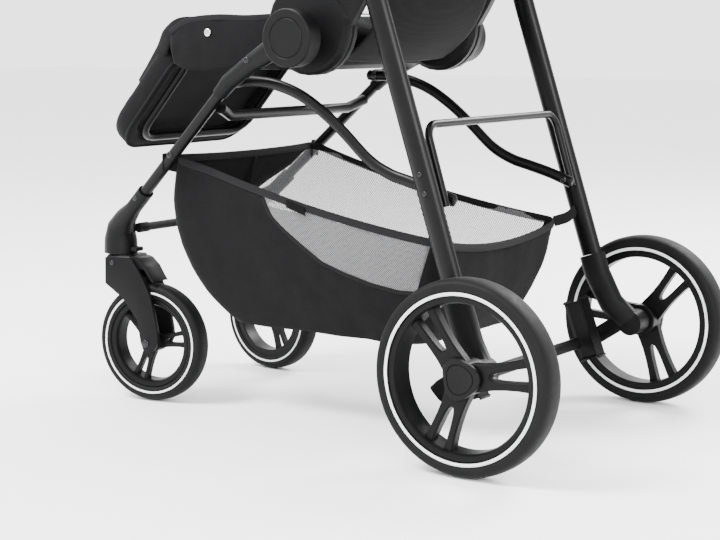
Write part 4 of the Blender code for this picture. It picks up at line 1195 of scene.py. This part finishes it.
def add_leg_pad():
    """The leg rest: a crowned front that wraps round its edge to a hollow back, with a sewn border."""
    levels = ((0.0160, 0.030), (0.0145, 0.022), (0.0060, 0.0185), (0.0035, 0.014), (0.0030, 0.007), (0.0050, 0.0015),
              (0.0090, 0.0), (0.0220, 0.0), (0.0290, 0.0015), (0.0335, 0.005), (0.0362, 0.012), (0.0372, 0.030),
              (0.0378, 0.050))
    rings = [resampled(leg_outline(offset, inset), 160) for offset, inset in levels]
    pad = grid_object(rings, "leg_pad", MAT["cloth"], closed=True, caps=True)
    ruffled(pad, 0.0008, 0.035, 7.0)
    on_body(pad, "leg_rest", "cloth", "leg_rest_pad")
    normal = direction(LEG_REST_ANGLE).cross(AXIS_X)
    edge = resampled(leg_outline(0.0045, 0.0010), 160)
    middle = sum(edge, Vector()) / len(edge)
    rings = []
    for step in range(8):
        turn = 2 * math.pi * step / 8
        lift = normal * 0.0016 * math.sin(turn)
        rings.append([p + (p - middle).normalized() * 0.0016 * math.cos(turn) + lift for p in edge])
    rings.append(rings[0])
    piping = grid_object(rings, "leg_pad_piping", MAT["binding"], closed=True)
    on_body(piping, "leg_rest", "cloth")


def add_knee():
    """The seat's cloth where it runs over the front edge and down the leg rest."""
    path = [(-0.468, 0.5275), (-0.500, 0.5325), (-0.529, 0.5300), (-0.551, 0.5150), (-0.5635, 0.4940), (-0.580, 0.4700),
            (-0.598, 0.4470)]
    curve = smooth_path([at(0, y, z) for y, z in path], 40)
    rows = []
    for c in range(57):
        share = c / 56 * 2 - 1
        x = 0.1370 * math.sin(share * math.pi / 2)
        fall = 0.026 * max(abs(share) - 0.80, 0.0) / 0.20
        row = []
        for index, p in enumerate(curve):
            tangent = curve[min(index + 1, 39)] - curve[max(index - 1, 0)]
            inward = tangent.cross(AXIS_X).normalized()
            inward = inward if inward.z < 0 else -inward
            row.append(p + AXIS_X * x + inward * fall)
        rows.append(row)
    cloth = grid_object(rows, "knee_cloth", MAT["cloth"])
    ruffled(cloth, 0.0010, 0.040, 13.0)
    thick = cloth.modifiers.new("thickness", "SOLIDIFY")
    thick.thickness = 0.0012
    apply_modifiers(cloth)
    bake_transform(cloth)


# ---- seat cloth, harness ----


def add_seat_sides():
    """The seat's side cloth from the leg rest to the hub, with its hem and a snap."""
    made = []
    top = [(-0.530, 0.512), (-0.500, 0.527), (-0.450, 0.532), (-0.400, 0.531), (-0.352, 0.533)]
    low = [(-0.524, 0.470), (-0.500, 0.462), (-0.450, 0.462), (-0.400, 0.470), (-0.352, 0.482)]
    for side, suffix in SIDES:
        rows = []
        upper = smooth_path([at(0, y, z) for y, z in top], 40)
        lower = smooth_path([at(0, y, z) for y, z in low], 40)
        for r in range(15):
            share = r / 14
            bulge = 0.1405 + 0.0035 * math.sin(math.pi * share)
            row = []
            for a, b in zip(upper, lower):
                point = a.lerp(b, share)
                row.append(Vector((side * bulge, point.y, point.z)))
            rows.append(row)
        cloth = grid_object(rows, "seat_side_" + suffix, MAT["cloth"])
        ruffled(cloth, 0.0012, 0.030, 11.0 + side)
        thick = cloth.modifiers.new("thickness", "SOLIDIFY")
        thick.thickness = 0.0012
        on_body(cloth, "front_frame", "cloth")
        hem = [Vector((side * 0.1408, p.y, p.z)) for p in upper]
        on_body(ribbon(hem, AXIS_Z, 0.0040, 0.0026, "seat_side_hem_" + suffix, MAT["binding"]), "front_frame", "cloth")
        made.append(cloth)
        snap = at(side * 0.1445, -0.462, 0.512)
        add_disc(snap, (side, 0.0, 0.0), 0.0055, 0.0024, "seat_snap_" + suffix, "front_frame", MAT["snap"])
    return made


def add_back_sling():
    """The cloth that bridges the seat's rear edge and the backrest's foot."""
    path = [(-0.262, 0.478), (-0.243, 0.490), (-0.222, 0.508), (-0.204, 0.532), (-0.193, 0.556), (-0.184, 0.588)]
    curve = smooth_path([at(0, y, z) for y, z in path], 24)
    rows = []
    for c in range(41):
        x = (c / 40 - 0.5) * 0.250
        belly = 0.004 * (1.0 - (x / 0.125) ** 2)
        rows.append([Vector((x, p.y + belly, p.z - belly)) for p in curve])
    cloth = grid_object(rows, "back_sling", MAT["cloth"])
    thick = cloth.modifiers.new("thickness", "SOLIDIFY")
    thick.thickness = 0.0012
    apply_modifiers(cloth)
    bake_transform(cloth)


def add_harness():
    """Shoulder, lap and crotch straps of the harness, laid on the pads."""
    along = direction(BACK_ANGLE)
    normal = AXIS_X.cross(along)
    hub = at(0.0, *HUB)
    for side, suffix in SIDES:
        points = [(0.052, 0.470, 0.030), (0.052, 0.440, 0.041), (0.050, 0.330, 0.041), (0.046, 0.220, 0.042), (0.044, 0.120, 0.041)]
        path = smooth_path([hub + AXIS_X * side * x + along * r + normal * n for x, r, n in points], 40)
        strap = ribbon(path, AXIS_X, 0.0125, 0.0016, "shoulder_strap_" + suffix, MAT["strap"])
        on_body(strap, "backrest", "cloth")
        pad_path = smooth_path([hub + AXIS_X * side * 0.051 + along * r + normal * 0.0445 for r in (0.420, 0.350, 0.280, 0.250)], 30)
        on_body(ribbon(pad_path, AXIS_X, 0.0260, 0.0075, "shoulder_pad_" + suffix, MAT["cloth"], 0.5), "backrest", "cloth")
        lap = smooth_path([at(side * 0.118, -0.300, 0.531), at(side * 0.080, -0.325, 0.5365), at(side * 0.048, -0.352, 0.5375),
                           at(side * 0.018, -0.372, 0.5385)], 30)
        on_body(ribbon(lap, AXIS_Y, 0.0120, 0.0016, "lap_strap_" + suffix, MAT["strap"]), "front_frame", "cloth")
    crotch = smooth_path([at(0, -0.470, 0.5270), at(0, -0.450, 0.5320), at(0, -0.425, 0.5365), at(0, -0.405, 0.5375)], 20)
    on_body(ribbon(crotch, AXIS_X, 0.0120, 0.0018, "crotch_strap", MAT["strap"]), "front_frame", "cloth")
    button = turned([(0.0085, 0.0), (0.0085, 0.0008), (0.0078, 0.0014), (0.0, 0.0010)], at(0, -0.385, 0.5440), AXIS_Z,
                    "buckle_button", MAT["rim"], 32)
    on_body(button, "front_frame", "plastic")


# ---- canopy and handle ----


def canopy_pivot():
    return on_plane(CANOPY_R, PUSH_ANGLE)


def canopy_arch(half_x, reach, corner, count):
    """Evenly spread (x, reach) points of a bow's rounded arch."""
    side_end = Vector((half_x, 0.055, 0.0))
    corner_at = Vector((half_x, reach, 0.0))
    half = [side_end] + arc_corner(side_end, corner_at, Vector((0.0, reach, 0.0)), corner, 16)
    path = half + [Vector((-p.x, p.y, 0.0)) for p in reversed(half)]
    lengths = [0.0]
    for a, b in zip(path, path[1:]):
        lengths.append(lengths[-1] + (b - a).length)
    points, span = [], 0
    for index in range(count):
        target = lengths[-1] * index / (count - 1)
        while span < len(path) - 2 and lengths[span + 1] < target:
            span += 1
        share = (target - lengths[span]) / max(lengths[span + 1] - lengths[span], 1e-9)
        points.append(path[span].lerp(path[span + 1], share))
    return points


def add_canopy_panel(low, high, name, node):
    """One curved sheet between two bows, dipping a little between them, with folded hems."""
    pivot = canopy_pivot()
    start, end = BOW_ANGLES[low], BOW_ANGLES[high]
    arch = canopy_arch(BOW_X[low], CANOPY_REACH + 0.0005, CANOPY_CORNER, 121)
    rows = []
    steps = 28
    for step in range(steps + 1):
        share = step / steps
        spoke = direction(math.radians(start + (end - start) * share))
        hem = AXIS_X.cross(spoke) * 0.0047 * (1.0 - 2.0 * share)
        dip = 1.0 - 0.012 * math.sin(math.pi * share)
        row = []
        spread = 1.0 + share * (BOW_X[high] / BOW_X[low] - 1.0) - 0.004 * math.sin(math.pi * share)
        for p in arch:
            row.append(pivot + AXIS_X * p.x * spread + spoke * p.y * dip + hem)
        rows.append(row)
    cloth = grid_object(rows, name, MAT["cloth"])
    ruffled(cloth, 0.0010, 0.060, 5.0 + start)
    thick = cloth.modifiers.new("thickness", "SOLIDIFY")
    thick.thickness = 0.0014
    apply_modifiers(cloth)
    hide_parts(node)
    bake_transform(cloth)


def add_canopy():
    """The canopy's two curved sheets and the bindings on its bows."""
    add_canopy_panel("rear", "mid", "canopy_cloth_rear", "canopy_panel_rear")
    add_canopy_panel("mid", "front", "canopy_cloth_front", "canopy_panel_front")
    pivot = canopy_pivot()
    bodies = {"rear": "push_frame", "mid": "canopy_mid", "front": "canopy_front"}
    for name, body in bodies.items():
        spoke = direction(math.radians(BOW_ANGLES[name]))
        across = AXIS_X.cross(spoke)
        arch = canopy_arch(BOW_X[name] + 0.0022, CANOPY_REACH + 0.0024, CANOPY_CORNER, 101)
        points = [pivot + AXIS_X * p.x + spoke * p.y for p in arch]
        on_body(ribbon(points, across, 0.0062, 0.0010, "bow_binding_" + name, MAT["binding"]), body, "cloth")


def add_handle():
    """The padded handle cover with its stitched seam."""
    centre = on_plane(HANDLE_R, PUSH_ANGLE)
    profile = [(0.0, -0.150), (0.0140, -0.150), (0.0158, -0.1485), (0.0164, -0.146), (0.0165, -0.143)]
    profile += [(0.0165, -0.072), (0.0161, -0.070), (0.0165, -0.068)]
    mirrored = [(r, -offset) for r, offset in reversed(profile)]
    grip = turned(profile + mirrored, centre, AXIS_X, "handle_cover", MAT["grip"], 64)
    on_body(grip, "push_frame", "grip", "handle_grip")
    along = direction(PUSH_ANGLE)
    seam_at = centre - along * 0.0164
    for index in range(46):
        x = -0.140 + index * 0.280 / 45
        stitch = [seam_at + AXIS_X * (x - 0.0019), seam_at + AXIS_X * x - along * 0.0006, seam_at + AXIS_X * (x + 0.0019)]
        piece = tube(stitch, (0.00035, 0.00035), along, f"grip_stitch{index}", MAT["binding"], 6)
        if index == 0:
            seam = piece
            stitches = []
        else:
            stitches.append(piece)
    joined(seam, stitches)
    seam.name = "grip_seam"
    on_body(seam, "push_frame", "grip")


# ---- stage ----


def add_stage():
    """Pale floor, soft light and the camera."""
    bm = bmesh.new()
    bmesh.ops.create_grid(bm, x_segments=2, y_segments=2, size=14.0)
    floor = from_bmesh(bm, "floor", floor_material())
    floor.location = (0.0, 0.0, -0.0005)
    world = bpy.data.worlds.new("studio")
    bpy.context.scene.world = world
    world.use_nodes = True
    background = world.node_tree.nodes["Background"]
    background.inputs["Color"].default_value = (1.0, 1.0, 1.0, 1.0)
    background.inputs["Strength"].default_value = 2.9
    lamps = (
        ("key", (1.6, -1.2, 2.6), 1.0, 210.0), ("fill", (2.6, 2.2, 1.7), 1.1, 110.0), ("back", (-2.4, 0.6, 2.4), 1.4, 190.0),
    )
    for name, place, size, power in lamps:
        lamp = bpy.data.lights.new(name, "AREA")
        lamp.shape = "RECTANGLE"
        lamp.size = size
        lamp.size_y = size
        lamp.energy = power
        obj = bpy.data.objects.new(name, lamp)
        bpy.context.scene.collection.objects.link(obj)
        obj.location = place
        obj.rotation_euler = (at(0.0, -0.2, 0.3) - Vector(place)).to_track_quat("-Z", "Y").to_euler()
    add_camera()


def add_camera():
    """The camera, from its measured heading, tilt and roll."""
    level = math.cos(CAMERA_PITCH)
    look = Vector((-math.cos(CAMERA_YAW) * level, -math.sin(CAMERA_YAW) * level, -math.sin(CAMERA_PITCH)))
    right = look.cross(AXIS_Z).normalized()
    up = right.cross(look)
    rolled = right * math.cos(CAMERA_ROLL) + up * math.sin(CAMERA_ROLL)
    upright = up * math.cos(CAMERA_ROLL) - right * math.sin(CAMERA_ROLL)
    data = bpy.data.cameras.new("camera")
    data.lens = CAMERA_LENS
    data.sensor_width = 36.0
    camera = bpy.data.objects.new("camera", data)
    bpy.context.scene.collection.objects.link(camera)
    turn = Matrix((rolled, upright, -look)).transposed().to_4x4()
    camera.matrix_world = Matrix.Translation(at(*CAMERA_AT)) @ turn
    bpy.context.scene.camera = camera


finish_cad_nodes()
add_wheels()
add_hubs()
add_fold_links()
add_rear_cross()
add_lower_bar()
add_rivets()
place_basket()
add_seat_pad()
add_back_pad()
add_back_cloth()
add_leg_pad()
add_knee()
add_seat_sides()
add_back_sling()
add_harness()
add_canopy()
add_handle()
add_stage()
